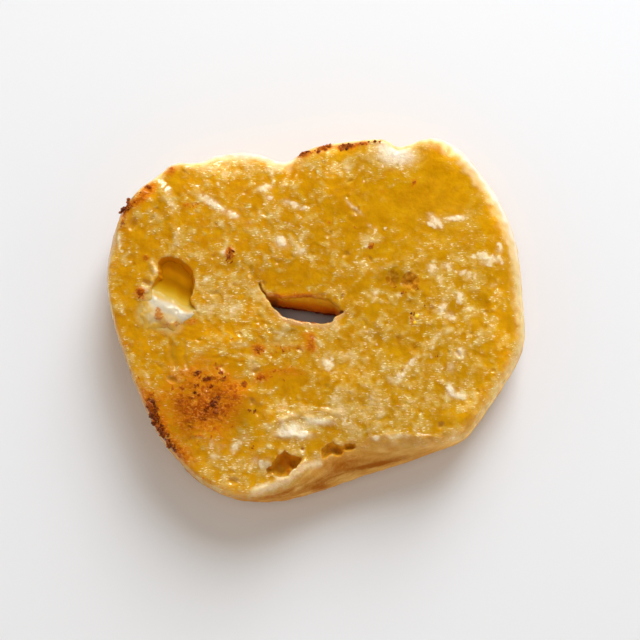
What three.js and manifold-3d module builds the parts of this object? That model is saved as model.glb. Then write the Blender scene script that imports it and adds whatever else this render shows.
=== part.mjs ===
// Toasted, buttered bagel half, lying on its crust with the cut face up.
// Millimetres, +Z up. The origin is on the resting plane, under the middle of the bagel's plan outline.
// +X runs along the longest way across, +Y across it.
//
// Two pieces:
//   bagel_half   one solid of bread: flat base, rounded crust side, knife-cut top face, the baked hole squeezed to a slit, and the air pockets that the cut opened
//   butter_pat   a half-melted lump of butter that has slumped into the largest pocket
import * as THREE from "three";
import { mergeVertices } from "three/addons/utils/BufferGeometryUtils.js";
import Module from "manifold-3d";

const wasm = await Module();
wasm.setup();

// ---------------------------------------------------------------- driving sizes, mm and degrees
const HOLE_X = -1.62; // middle of the hole, from which the outline's angles are counted
const HOLE_Y = 1.1;

// Plan outline at its widest: a round, waves about it, and lobes (+) and dents (-) where the dough sprang and stuck.
const ROUND = 48.7;
const WAVES = [
  { times: 1, by: 1.5, at: 37.4 }, // the hole is off centre
  { times: 2, by: 4.1, at: 9.5 }, // longer than it is wide
  { times: 3, by: 2.7, at: 21.7 }, // three soft corners
  { times: 4, by: 2.1, at: -34.1 },
  { times: 5, by: 0.5, at: -35.3 },
];
const LOBES = [
  { at: 52.6, by: 3.2, wide: 12.0 }, // back right shoulder
  { at: 61.4, by: -3.0, wide: 4.1 }, // notch where the knife caught
  { at: 99.4, by: -3.0, wide: 6.9 }, // dent in the back edge
  { at: 130.6, by: -2.6, wide: 7.5 },
  { at: 132.2, by: 3.2, wide: 4.8 }, // back left shoulder
  { at: 228.8, by: -0.4, wide: 5.0 },
  { at: 320.8, by: 1.3, wide: 6.4 }, // front right corner
  { at: 351.3, by: 1.8, wide: 9.1 },
];

// Side: flat base, round lower edge, widest at BULGE_Z, then in again to the knife cut.
const BULGE_Z = 9.0;
const BASE_INSET = 10.5; // from the widest line in to the flat base
const LOWER_ROUND = 0.86; // under 1 is fuller than a quarter ellipse
const UPPER_ARC = 62; // how much of a quarter turn the side makes before the knife cut it off
const EDGE_ROUND = 0.6; // soft edge of the cut

// How far the cut edge lies inside the widest line.
const CUT_INSET = 0.9;
const CUT_INSETS = [
  { at: 24, by: 2.6, wide: 26 },
  { at: 60, by: 1.0, wide: 4 },
  { at: 110, by: 2.6, wide: 13 },
  { at: 132, by: 0.9, wide: 6 },
  { at: 162, by: 1.4, wide: 5 },
  { at: 278, by: 5.6, wide: 17 }, // torn front edge, where the crust shows most
  { at: 300, by: 3.0, wide: 14 },
  { at: 338, by: 1.6, wide: 24 },
];

// The cut face: a plane with the slow rises and falls that a bread knife leaves.
const CUT_Z = 19.0;
const CUT_SWELLS = [
  { x: 33, y: 38, by: -3.4, wide: 17 }, // falls away at the back right corner
  { x: -20, y: 39, by: -1.6, wide: 13 },
  { x: 7, y: -36, by: -2.2, wide: 12 }, // sags over the tunnel at the front edge
  { x: 42, y: -25, by: -1.6, wide: 15 },
  { x: 50, y: 4, by: -1.2, wide: 12 },
  { x: -31, y: -21, by: 0.9, wide: 13 }, // high spots, which toast first
  { x: -44, y: 28, by: 0.7, wide: 7 },
  { x: 5, y: 39, by: 0.6, wide: 8 },
  { x: -5, y: -8, by: 0.5, wide: 8 },
  { x: -3, y: 3, by: -0.7, wide: 9 }, // dips towards the hole
];

// The hole, squeezed nearly shut: a lens-shaped slit whose back wall slopes forward on the way down, over a dimple in the base.
const SLIT = { x: -2.3, y: 1.9, halfLong: 9.6, turn: -11.5, front: 4.0, back: 3.1, backBelow: 1.7, frontBelow: 4.6, shorter: 0.9, fuller: 1.3 };
const DIMPLE = { rise: 4.5, halfLong: 17, halfWide: 12 };

// Air pockets opened by the cut: ellipsoids, each with its middle, half sizes and turn about Z, roughened a little.
const POCKETS = [
  { x: -35.1, y: 8.4, z: 15.8, rx: 5.1, ry: 6.8, rz: 7.4, turn: 6 }, // the big one, left
  { x: -7.4, y: -36.1, z: 14.8, rx: 5.8, ry: 3.1, rz: 5.8, turn: 42 }, // under the front edge
  { x: 5.8, y: -32.1, z: 16.4, rx: 4.8, ry: 1.7, rz: 3.2, turn: 3 },
  { x: 23.6, y: 9.2, z: 18.6, rx: 4.6, ry: 3.2, rz: 2.3, turn: -10 },
  { x: 31.8, y: -1.4, z: 18.4, rx: 2.2, ry: 3.0, rz: 2.1, turn: 20 },
];
const POCKET_ROUGH = 0.05; // share of a pocket's size

// Butter: a slumped lump that fills the front end of the big pocket.
const BUTTER = { x: -36.3, y: 1.0, z: 16.3, rx: 6.4, ry: 4.4, rz: 3.5, turn: -8, waves: 0.07 };
const FIT_GAP = 0.35; // left between butter and bread

// Mesh fineness
const TURNS = 120; // steps round the outline
const BALL_W = 20;
const BALL_H = 12;

// ---------------------------------------------------------------- shape functions
const rad = THREE.MathUtils.degToRad;
const bell = (d, wide) => Math.exp(-((d / wide) ** 2));
const turnBetween = (a, b) => ((((a - b + 180) % 360) + 360) % 360) - 180;
const sumAtAngle = (list, deg) => list.reduce((s, f) => s + f.by * bell(turnBetween(deg, f.at), f.wide), 0);

const waveAtAngle = (deg) => WAVES.reduce((s, w) => s + w.by * Math.cos(rad(w.times * (deg - w.at))), 0);
const widest = (deg) => ROUND + waveAtAngle(deg) + sumAtAngle(LOBES, deg);
const cutInset = (deg) => CUT_INSET + sumAtAngle(CUT_INSETS, deg);
const cutHeight = (x, y) =>
  CUT_SWELLS.reduce((z, f) => z + f.by * bell(Math.hypot(x - f.x, y - f.y), f.wide), CUT_Z);

// Height of the base: flat, but for the dimple that the hole leaves.
function baseHeight(x, y) {
  const c = Math.cos(rad(SLIT.turn));
  const s = Math.sin(rad(SLIT.turn));
  const u = ((x - SLIT.x) * c + (y - SLIT.y) * s) / DIMPLE.halfLong;
  const v = (-(x - SLIT.x) * s + (y - SLIT.y) * c) / DIMPLE.halfWide;
  return DIMPLE.rise * Math.max(0, 1 - u * u - v * v) ** 1.5;
}

// The side and faces at one angle, from the middle of the base round to the middle of the cut face: [distance out, height].
function profileAt(deg) {
  const out = widest(deg);
  const inset = cutInset(deg);
  const base = out - BASE_INSET;
  const edge = out - inset;
  const c = Math.cos(rad(deg));
  const s = Math.sin(rad(deg));
  const top = (r) => cutHeight(HOLE_X + r * c, HOLE_Y + r * s);
  const rim = top(edge) - EDGE_ROUND;
  const under = (r) => baseHeight(HOLE_X + r * c, HOLE_Y + r * s);
  const p = [0, 5, 10, 14, 18.5, base].map((r) => [r, under(r)]);
  for (const t of [16, 33, 50, 68]) {
    p.push([
      base + BASE_INSET * Math.sin(rad(t)) ** LOWER_ROUND,
      BULGE_Z * (1 - Math.cos(rad(t)) ** LOWER_ROUND),
    ]);
  }
  p.push([out, BULGE_Z]);
  const a = rad(UPPER_ARC);
  for (const t of [0.3, 0.6, 0.82, 1]) {
    p.push([
      out - (inset * (1 - Math.cos(t * a))) / (1 - Math.cos(a)),
      BULGE_Z + ((rim - BULGE_Z) * Math.sin(t * a)) / Math.sin(a),
    ]);
  }
  for (const r of [edge - EDGE_ROUND * 0.35, edge - EDGE_ROUND]) {
    p.push([r, top(r) - (r === edge - EDGE_ROUND ? 0 : EDGE_ROUND * 0.35)]);
  }
  for (const f of [0.92, 0.81, 0.69, 0.56, 0.42, 0.26]) {
    p.push([edge * f, top(edge * f)]);
  }
  p.push([0, top(0)]);
  return p;
}

// ---------------------------------------------------------------- solids
function toSolid(geometry) {
  const bare = new THREE.BufferGeometry().setAttribute(
    "position",
    (geometry.index ? geometry.toNonIndexed() : geometry).getAttribute("position").clone(),
  );
  const merged = mergeVertices(bare, 1e-4);
  const index = merged.index.array;
  const tris = [];
  for (let i = 0; i < index.length; i += 3) {
    const [a, b, c] = [index[i], index[i + 1], index[i + 2]];
    if (a !== b && b !== c && c !== a) tris.push(a, b, c);
  }
  return new wasm.Manifold(
    new wasm.Mesh({
      numProp: 3,
      vertProperties: merged.getAttribute("position").array,
      triVerts: new Uint32Array(tris),
    }),
  );
}

function toGeometry(solid) {
  const m = solid.getMesh();
  const n = m.numProp;
  const v = new Float32Array(m.numVert * 3);
  for (let i = 0; i < m.numVert; i++) v.set(m.vertProperties.subarray(i * n, i * n + 3), i * 3);
  const g = new THREE.BufferGeometry()
    .setAttribute("position", new THREE.BufferAttribute(v, 3))
    .setIndex(new THREE.BufferAttribute(new Uint32Array(m.triVerts), 1));
  g.computeVertexNormals();
  return g;
}

// Bread, before the hole and pockets: a lathe whose every ring is moved out to the outline.
function breadSolid() {
  const rows = profileAt(0).length;
  const g = new THREE.LatheGeometry(
    Array.from({ length: rows }, (_, j) => new THREE.Vector2(Math.sin((Math.PI * j) / (rows - 1)) * 50, j)),
    TURNS,
  );
  const pos = g.getAttribute("position");
  for (let i = 0; i <= TURNS; i++) {
    const deg = ((i % TURNS) * 360) / TURNS;
    profileAt(deg).forEach(([r, z], j) => {
      pos.setXYZ(i * rows + j, HOLE_X + r * Math.cos(rad(deg)), HOLE_Y + r * Math.sin(rad(deg)), z);
    });
  }
  return toSolid(g);
}

// The slit: a lens drawn in plan, extruded upwards, with its walls moved by height.
function slitSolid() {
  const low = -3;
  const high = CUT_Z + 5;
  const steps = 22;
  const lens = new THREE.Shape();
  for (let k = 0; k < 2 * steps; k++) {
    const t = (Math.PI * k) / steps;
    const x = Math.cos(t);
    const y = Math.sign(Math.sin(t)) * Math.abs(Math.sin(t)) ** SLIT.fuller;
    k ? lens.lineTo(x, y) : lens.moveTo(x, y);
  }
  lens.closePath();
  const g = new THREE.ExtrudeGeometry(lens, { depth: high - low, steps: 4, bevelEnabled: false });
  const pos = g.getAttribute("position");
  for (let i = 0; i < pos.count; i++) {
    const z = low + pos.getZ(i);
    const up = THREE.MathUtils.clamp(z / CUT_Z, 0, 1);
    const side = pos.getY(i) > 0 ? THREE.MathUtils.lerp(SLIT.backBelow, SLIT.back, up) : THREE.MathUtils.lerp(SLIT.frontBelow, SLIT.front, up);
    pos.setXYZ(i, pos.getX(i) * SLIT.halfLong * THREE.MathUtils.lerp(SLIT.shorter, 1, up), pos.getY(i) * side, z);
  }
  g.rotateZ(rad(SLIT.turn));
  g.translate(SLIT.x, SLIT.y, 0);
  return toSolid(g);
}

// A ball stretched to a pocket's sizes, with a few waves so that no two are alike.
function ballSolid({ x, y, z, rx, ry, rz, turn }, waves, grow = 0) {
  const g = new THREE.SphereGeometry(1, BALL_W, BALL_H);
  g.rotateX(Math.PI / 2);
  const pos = g.getAttribute("position");
  for (let i = 0; i < pos.count; i++) {
    const [u, v, w] = [pos.getX(i), pos.getY(i), pos.getZ(i)];
    const k =
      1 +
      waves * Math.sin(3.1 * u + 2.3 * v + x) * Math.cos(2.7 * w + 1.9 * u + y) +
      waves * 0.6 * Math.sin(5.3 * v - 3.7 * w + x * 0.5);
    pos.setXYZ(i, u * (rx * k + grow), v * (ry * k + grow), w * (rz * k + grow));
  }
  g.rotateZ(rad(turn));
  g.translate(x, y, z);
  return toSolid(g);
}

const butter = ballSolid(BUTTER, BUTTER.waves);
let bread = breadSolid().subtract(slitSolid());
for (const p of POCKETS) bread = bread.subtract(ballSolid(p, POCKET_ROUGH));
bread = bread.subtract(ballSolid(BUTTER, BUTTER.waves, FIT_GAP));

// ---------------------------------------------------------------- the scene graph
const bagel = new THREE.Group();

const bagelHalf = new THREE.Mesh(
  toGeometry(bread),
  new THREE.MeshStandardMaterial({ color: 0xd09a3c, roughness: 0.55, metalness: 0 }),
);
bagelHalf.name = "bagel_half";
bagel.add(bagelHalf);

const butterPat = new THREE.Mesh(
  toGeometry(butter),
  new THREE.MeshStandardMaterial({ color: 0xf2dfa6, roughness: 0.25, metalness: 0 }),
);
butterPat.name = "butter_pat";
bagel.add(butterPat);

export default bagel;
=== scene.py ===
"""Toasted, buttered bagel half, cut face up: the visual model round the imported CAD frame."""

import math
import time

import bpy
import numpy as np
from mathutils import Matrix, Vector


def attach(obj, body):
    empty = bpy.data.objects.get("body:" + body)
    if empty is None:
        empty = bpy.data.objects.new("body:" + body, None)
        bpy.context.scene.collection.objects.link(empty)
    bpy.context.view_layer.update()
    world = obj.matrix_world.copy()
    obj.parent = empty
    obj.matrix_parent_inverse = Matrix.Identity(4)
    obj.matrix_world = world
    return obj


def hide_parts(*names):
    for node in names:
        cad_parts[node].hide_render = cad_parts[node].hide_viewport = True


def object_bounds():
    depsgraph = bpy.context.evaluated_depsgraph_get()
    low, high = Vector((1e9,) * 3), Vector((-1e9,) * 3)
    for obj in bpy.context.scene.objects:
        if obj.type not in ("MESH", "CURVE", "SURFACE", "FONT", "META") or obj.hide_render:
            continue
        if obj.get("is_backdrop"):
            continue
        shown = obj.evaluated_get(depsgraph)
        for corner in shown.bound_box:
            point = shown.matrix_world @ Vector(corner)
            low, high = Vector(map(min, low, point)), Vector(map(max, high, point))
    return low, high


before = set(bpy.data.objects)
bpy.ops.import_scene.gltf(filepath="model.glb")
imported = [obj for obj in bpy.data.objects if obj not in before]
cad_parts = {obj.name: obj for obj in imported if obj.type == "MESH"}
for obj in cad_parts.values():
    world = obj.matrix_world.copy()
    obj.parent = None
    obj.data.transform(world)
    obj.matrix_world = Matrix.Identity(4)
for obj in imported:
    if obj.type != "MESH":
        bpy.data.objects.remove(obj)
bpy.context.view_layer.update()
MM = 0.001
START = time.time()


def tick(what):
    print(f"[{time.time() - START:6.1f} s] {what}")


# ------------------------------------------------------------------------------------------------
# Sizes, in mm and degrees, in the CAD frame. Outline, cut and bulge are the CAD's own.
HOLE = (-1.62, 1.1)
ROUND = 48.7
WAVES = [(1, 1.5, 37.4), (2, 4.1, 9.5), (3, 2.7, 21.7), (4, 2.1, -34.1), (5, 0.5, -35.3)]
LOBES = [
    (52.6, 3.2, 12.0), (61.4, -3.0, 4.1), (99.4, -3.0, 6.9), (130.6, -2.6, 7.5), (132.2, 3.2, 4.8),
    (228.8, -0.4, 5.0), (320.8, 1.3, 6.4), (351.3, 1.8, 9.1),
]
BULGE_Z, BASE_INSET, LOWER_ROUND, UPPER_ARC = 9.0, 10.5, 0.86, 62.0
CUT_INSET = 0.9
CUT_INSETS = [
    (24, 2.6, 26), (60, 1.0, 4), (110, 2.6, 13), (132, 0.9, 6), (162, 1.4, 5), (278, 5.6, 17), (300, 3.0, 14),
    (338, 1.6, 24),
]
CUT_Z = 19.0
CUT_SWELLS = [
    (33, 38, -3.4, 17), (-20, 39, -1.6, 13), (7, -36, -2.2, 12), (42, -25, -1.6, 15), (50, 4, -1.2, 12),
    (-31, -21, 0.9, 13), (-44, 28, 0.7, 7), (5, 39, 0.6, 8), (-5, -8, 0.5, 8), (-3, 3, -0.7, 9),
]
DIMPLE = (-2.3, 1.9, -11.5, 4.5, 17.0, 12.0)  # x, y, turn, rise, half length, half width

# What lies where on the cut face.
# tables begin
# golden, butter-soaked parts of the cut: x, y, half length, half width, turn, strength
SOAK = [
    (11.0, 26.3, 15.2, 8.8, 0, 0.5), (30.8, 32.9, 7.4, 10.8, -22, 0.55), (44.9, 17.0, 2.9, 9.8, 8, 0.35),
    (-19.5, 31.4, 9.3, 3.2, -8, 0.4), (-28.5, 22.8, 6.4, 2.9, 0, 0.25), (-5.6, 9.0, 8.8, 3.4, 0, 0.5),
    (-43.7, 15.8, 2.7, 5.9, 0, 0.45), (-20.6, 10.3, 3.9, 2.5, 0, 0.2), (-24.6, -4.8, 10.3, 3.9, -5, 0.25),
    (-5.5, -16.4, 6.6, 3.4, 0, 0.55), (-26.9, -21.3, 10.3, 9.3, 0, 0.45), (-43.0, -1.1, 4.9, 3.4, 0, 0.35),
    (21.5, 8.1, 3.7, 2.5, 0, 0.3), (46.4, 1.3, 3.4, 9.3, 0, 0.25), (20.1, -8.0, 4.2, 2.7, 0, 0.45),
    (8.9, 0.4, 4.9, 3.4, 0, 0.25), (28.1, -15.7, 2.2, 1.7, 0, 0.45), (32.2, -26.4, 6.4, 2.0, 6, 0.4),
    (45.5, -12.0, 4.4, 9.3, -20, 0.22), (2.3, -30.1, 4.4, 2.2, 0, 0.45), (20.1, -22.3, 2.0, 1.2, 0, 0.45),
    (-34.1, 33.9, 2.5, 2.9, 0, 0.45), (-3.9, 41.0, 3.4, 2.0, 10, 0.35), (7.3, 41.0, 5.4, 1.7, 0, 0.35),
    (-16.0, -20.1, 4.9, 3.4, 0, 0.2), (-40.4, -10.3, 3.4, 6.4, -70, 0.2), (-30.4, -38.3, 6.4, 3.4, -40, 0.15),
    (-19.6, -26.2, 4.9, 4.4, 0, 0.15), (-41.0, 28.3, 3.4, 4.4, -50, 0.25), (-5.8, -6.6, 4.9, 2.0, 0, -0.1),
    (-40.5, -3.1, 1.7, 2.2, 0, 0.34), (-40.6, 1.3, 1.5, 1.7, 0, 0.25), (-6.3, -4.1, 2.5, 1.2, 0, 0.36),
    (13.8, -4.3, 1.7, 1.5, 0, 0.36), (-35.1, -9.5, 2.2, 2.2, 0, 0.28), (-0.9, -9.0, 1.7, 1.5, 0, 0.18),
    (-11.2, 15.8, 2.2, 1.7, 0, 0.32), (9.0, 20.8, 2.5, 2.0, 0, 0.2), (18.4, 35.9, 2.0, 1.5, 0, 0),
    (-1.4, 35.4, 1.5, 1.5, 0, 0.26), (-26.0, 12.8, 2.0, 2.9, 0, 0.28), (-15.6, 10.8, 2.2, 1.5, 0, 0.2),
    (28.0, -9.5, 2.2, 1.7, 0, 0.2), (23.6, -9.0, 1.7, 1.5, 0, 0.24), (32.8, -9.0, 2.0, 1.7, 0, 0.22),
    (42.4, 10.8, 2.0, 2.0, 0, 0.2), (19.8, 9.0, 2.5, 1.5, 0, 0.25), (-17.4, -25.7, 3.4, 3.9, 0, 0.15),
    (21.2, 8.1, 2.2, 2.0, 0, 0.22), (6.9, -29.1, 3.2, 1.0, -4, 0.3), (0.6, -32.2, 2.0, 1.0, 0, 0.2),
]
# pale, drier parts
PALE = [
    (-37.2, 28.3, 1.2, 5.9, 20, 0.65), (-33.9, 19.3, 1.7, 2.9, 10, 0.45), (-23.2, 36.4, 8.8, 2.9, -8, 0.55),
    (-11.8, 36.9, 2.9, 2.0, 0, 0.6), (-23.0, 6.3, 8.8, 6.4, 0, 0.5), (-16.9, 7.6, 2.5, 3.9, 10, 0.45),
    (-5.8, 21.3, 8.8, 5.4, 0, 0.3), (-7.5, -5.3, 6.4, 2.2, 0, 0.65), (2.3, -2.1, 7.4, 1.7, 0, 0.45),
    (-16.0, -13.5, 2.7, 3.4, -15, 0.45), (1.6, -12.0, 2.2, 2.9, -20, 0.6), (-3.8, -28.1, 6.4, 3.2, 0, 0.75),
    (-4.7, -28.6, 3.7, 2.0, 0, 0.55), (5.0, -24.2, 6.9, 2.5, 0, 0.55), (19.3, -30.1, 7.4, 1.7, -8, 0.65),
    (-18.3, -37.8, 8.3, 3.4, -25, 0.3), (18.9, 39.7, 4.9, 3.7, 0, 0.95), (6.0, 36.4, 5.4, 2.7, 0, 0.45),
    (32.7, 23.3, 4.9, 1.2, 10, 0.55), (42.4, 13.8, 4.4, 1.7, 0, 0.45), (36.2, 9.3, 6.4, 1.5, -5, 0.45),
    (27.6, 11.3, 2.0, 2.2, -20, 0.45), (34.9, 3.8, 1.7, 1.7, 0, 0.35), (31.2, 0.4, 2.2, 2.2, -20, 0.45),
    (34.0, -19.3, 3.4, 2.2, 0, 0.55), (23.8, -16.9, 4.9, 4.9, 40, 0.45), (19.3, -24.2, 8.8, 2.9, -10, 0.4),
    (12.0, -20.8, 6.4, 5.4, 0, 0.3), (13.8, -4.1, 5.4, 2.5, -10, 0.3), (28.0, -7.8, 3.9, 4.4, 0, 0.3),
    (7.2, -7.8, 4.4, 3.4, 0, 0.25), (15.7, -12.0, 5.4, 2.0, -10, 0.3), (37.8, -4.1, 5.9, 3.9, 0, 0.2),
    (-1.9, 25.3, 2.5, 2.0, 0, 0.25), (-10.0, 15.8, 4.4, 2.5, 0, 0.25), (-26.5, 16.8, 3.9, 2.2, 0, 0.2),
    (34.1, -7.8, 4.4, 3.4, 0, 0.15), (-20.3, -32.0, 2.5, 2.2, -40, 0.45), (-25.9, 0.4, 7.4, 2.2, -8, 0.35),
    (-32.5, -26.2, 2.0, 2.5, 0, -0.2), (-40.4, -14.4, 1.7, 4.9, -25, 0.25), (-36.5, -31.0, 4.9, 2.9, -45, 0.12),
    (24.9, -27.4, 3.9, 1.2, 0, 0.15), (11.4, 18.3, 4.9, 2.9, 0, 0.18), (-26.8, -38.3, 6.4, 2.5, -38, 0.28),
    (-20.9, -4.6, 4.4, 2.0, -5, 0.28), (-25.3, -5.1, 3.4, 1.7, 0, 0.16), (-16.1, 0.4, 1.7, 1.7, 0, 0.25),
    (-12.4, 0.4, 1.5, 1.2, 0, 0.12), (7.2, -14.4, 4.9, 2.0, 0, 0.24), (-11.6, -23.2, 2.9, 2.0, 0, 0.3),
    (-1.8, -23.7, 2.2, 1.7, 0, 0.22), (-20.7, 35.4, 3.9, 2.0, 0, 0.38), (-27.4, 35.9, 2.9, 2.0, 0, 0.3),
    (4.1, 35.9, 2.9, 2.0, 0, 0.4), (-6.4, 35.4, 2.2, 1.7, 0, 0.3), (33.8, 41.0, 2.9, 2.5, 0, 0.6),
    (1.1, 40.5, 2.9, 1.2, 0, 0.28), (8.5, 40.5, 2.5, 1.0, 0, 0.1), (-41.0, 30.9, 2.0, 2.2, 0, 0.2),
    (-31.1, 31.4, 2.0, 2.0, 0, 0.28), (-10.8, 30.9, 2.0, 1.5, 0, 0.24), (37.6, -21.8, 3.9, 2.5, 30, 0.2),
    (42.6, -14.4, 3.4, 2.9, 0, 0.2), (47.1, -6.6, 2.0, 5.9, 0, 0.25), (-0.9, 15.3, 2.0, 1.5, 0, 0.22),
    (4.0, 10.8, 2.0, 1.7, 0, 0.22), (-15.5, -18.4, 2.0, 1.7, 0, 0.22), (8.4, -28.6, 2.9, 2.0, 0, 0.2),
    (28.0, -4.1, 2.2, 2.0, 0, 0.14), (-26.6, -25.0, 1.5, 1.2, 0, 0), (-39.6, 10.7, 1.0, 2.0, 14, 0.95),
    (-40.9, 7.1, 1.2, 1.5, -40, 0.5), (-12.9, -42.9, 2.5, 1.0, 16, 0.8), (-8.6, -40.7, 2.2, 1.0, 35, 0.8),
    (-4.5, -37.8, 2.2, 1.2, 40, 0.6), (0.6, -35.6, 3.4, 1.2, 5, 0.5), (-25.4, 27.6, 3.9, 1.5, -35, 0.25),
    (-11.8, 30.9, 3.4, 1.5, 10, 0.2), (-5.2, -28.6, 5.4, 2.2, 0, 0.25), (0.6, -26.9, 3.9, 1.7, 12, 0.2),
    (-48.9, -1.1, 1.2, 7.4, 0, -0.2), (-48.6, 10.8, 1.0, 4.9, 0, -0.15), (-15.5, -21.3, 1.7, 0.7, -40, 0.3),
    (-12.8, -24.2, 1.5, 0.7, -55, 0.32), (-11.1, -27.4, 1.7, 0.7, -65, 0.3), (-10.1, -22.3, 2.0, 2.2, 0, 0.26),
    (5.5, -23.7, 3.9, 1.7, 5, 0.28), (18.4, 35.9, 2.5, 2.0, 0, -0.35), (-18.3, -33.9, 3.4, 1.7, 0, -0.16),
    (-8.6, -33.9, 2.9, 1.5, 0, -0.1), (38.0, 15.8, 3.4, 2.5, 0, -0.12), (40.4, 5.8, 2.5, 2.0, 0, -0.14),
    (28.0, 1.3, 2.2, 2.0, 0, -0.12), (-40.6, 3.3, 2.2, 2.9, 0, -0.14), (-43.5, -4.1, 2.5, 3.4, 0, -0.08),
    (-14.7, 19.3, 2.5, 2.0, 0, -0.1), (-1.4, 15.8, 2.0, 1.5, 0, -0.05), (8.8, -31.0, 2.5, 1.0, 0, 0.3),
    (-3.8, -32.2, 2.5, 1.0, 0, -0.1), (18.4, 35.9, 2.0, 1.7, 0, -0.25), (3.5, -28.6, 2.0, 1.2, 0, -0.1),
    (8.9, -29.1, 2.9, 1.5, 0, 0.35), (-20.8, -18.8, 2.2, 1.7, 0, 0.22), (-13.5, -19.3, 2.0, 1.5, 0, 0.18),
    (-1.8, -24.2, 2.2, 1.2, 0, 0.15), (13.3, -18.8, 2.9, 2.2, 0, 0.14), (-11.7, 10.8, 3.9, 2.0, 0, -0.12),
    (-18.6, 15.3, 2.9, 2.0, 0, -0.1), (15.9, 15.3, 2.9, 2.0, 0, -0.14), (4.0, 20.8, 2.0, 1.5, 0, -0.14),
    (20.7, -4.1, 3.4, 2.5, 0, 0.12), (28.4, -13.9, 2.9, 2.0, 0, 0.12), (37.7, -10.3, 2.9, 2.5, 0, 0.12),
    (-3.4, 15.8, 2.5, 2.0, 0, 0.14), (-23.9, -6.1, 3.4, 2.0, 0, 0.18), (-24.4, -35.9, 2.0, 1.5, 0, 0.12),
    (-24.1, -33.0, 2.5, 1.5, 0, 0.1), (-7.5, -4.1, 3.4, 1.7, 0, -0.18), (18.4, 35.9, 1.7, 1.5, 0, -0.2),
    (-18.3, -33.9, 2.5, 1.5, 0, -0.1), (-2.3, -33.5, 2.9, 1.0, 0, -0.1), (8.9, -29.1, 2.9, 1.5, 0, 0.35),
    (-1.4, 10.3, 2.2, 1.7, 0, 0.14), (-25.8, -4.1, 2.2, 1.7, 0, 0.18), (25.7, 16.8, 3.4, 2.5, 0, 0.16),
    (33.0, 5.8, 2.2, 1.7, 0, 0.22), (8.5, 37.2, 4.4, 1.7, 0, 0.14), (-40.5, 30.4, 2.0, 1.7, 0, 0.2),
    (1.6, 30.9, 2.2, 1.7, 0, 0.1), (-16.1, 10.8, 2.2, 1.7, 0, -0.15), (-13.2, 5.8, 2.0, 1.7, 0, -0.1),
    (-15.4, -33.9, 2.2, 1.2, 0, -0.12), (-6.2, -33.0, 2.2, 1.2, 0, -0.2), (3.5, -31.0, 2.5, 1.0, 0, -0.1),
    (37.8, -4.1, 2.5, 2.2, 0, -0.08), (-45.0, 3.3, 2.2, 3.9, 0, -0.1), (23.0, -24.2, 2.9, 1.7, 0, -0.12),
    (17.6, -19.3, 2.5, 2.0, 0, -0.1), (-16.1, 7.3, 2.2, 3.4, 0, -0.16), (-7.5, -5.3, 2.9, 1.7, 0, -0.15),
    (-43.0, -5.3, 1.7, 3.9, 0, -0.1), (-30.7, -9.5, 2.2, 1.5, 0, -0.12), (27.6, 0.4, 2.5, 2.0, 0, -0.14),
    (30.4, -9.0, 2.9, 2.0, 0, -0.1), (23.7, 15.8, 2.2, 1.7, 0, -0.12), (42.4, 12.8, 1.5, 3.4, 0, -0.12),
    (7.2, -29.1, 3.4, 1.2, 0, 0.22), (-30.6, -22.5, 2.2, 2.2, 0, -0.1), (18.1, -24.2, 2.9, 1.7, 0, -0.1),
    (-48.5, 18.3, 0.9, 2.2, 0, 0.8), (-47.6, 12.8, 0.7, 1.5, 0, 0.3),
]
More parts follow.
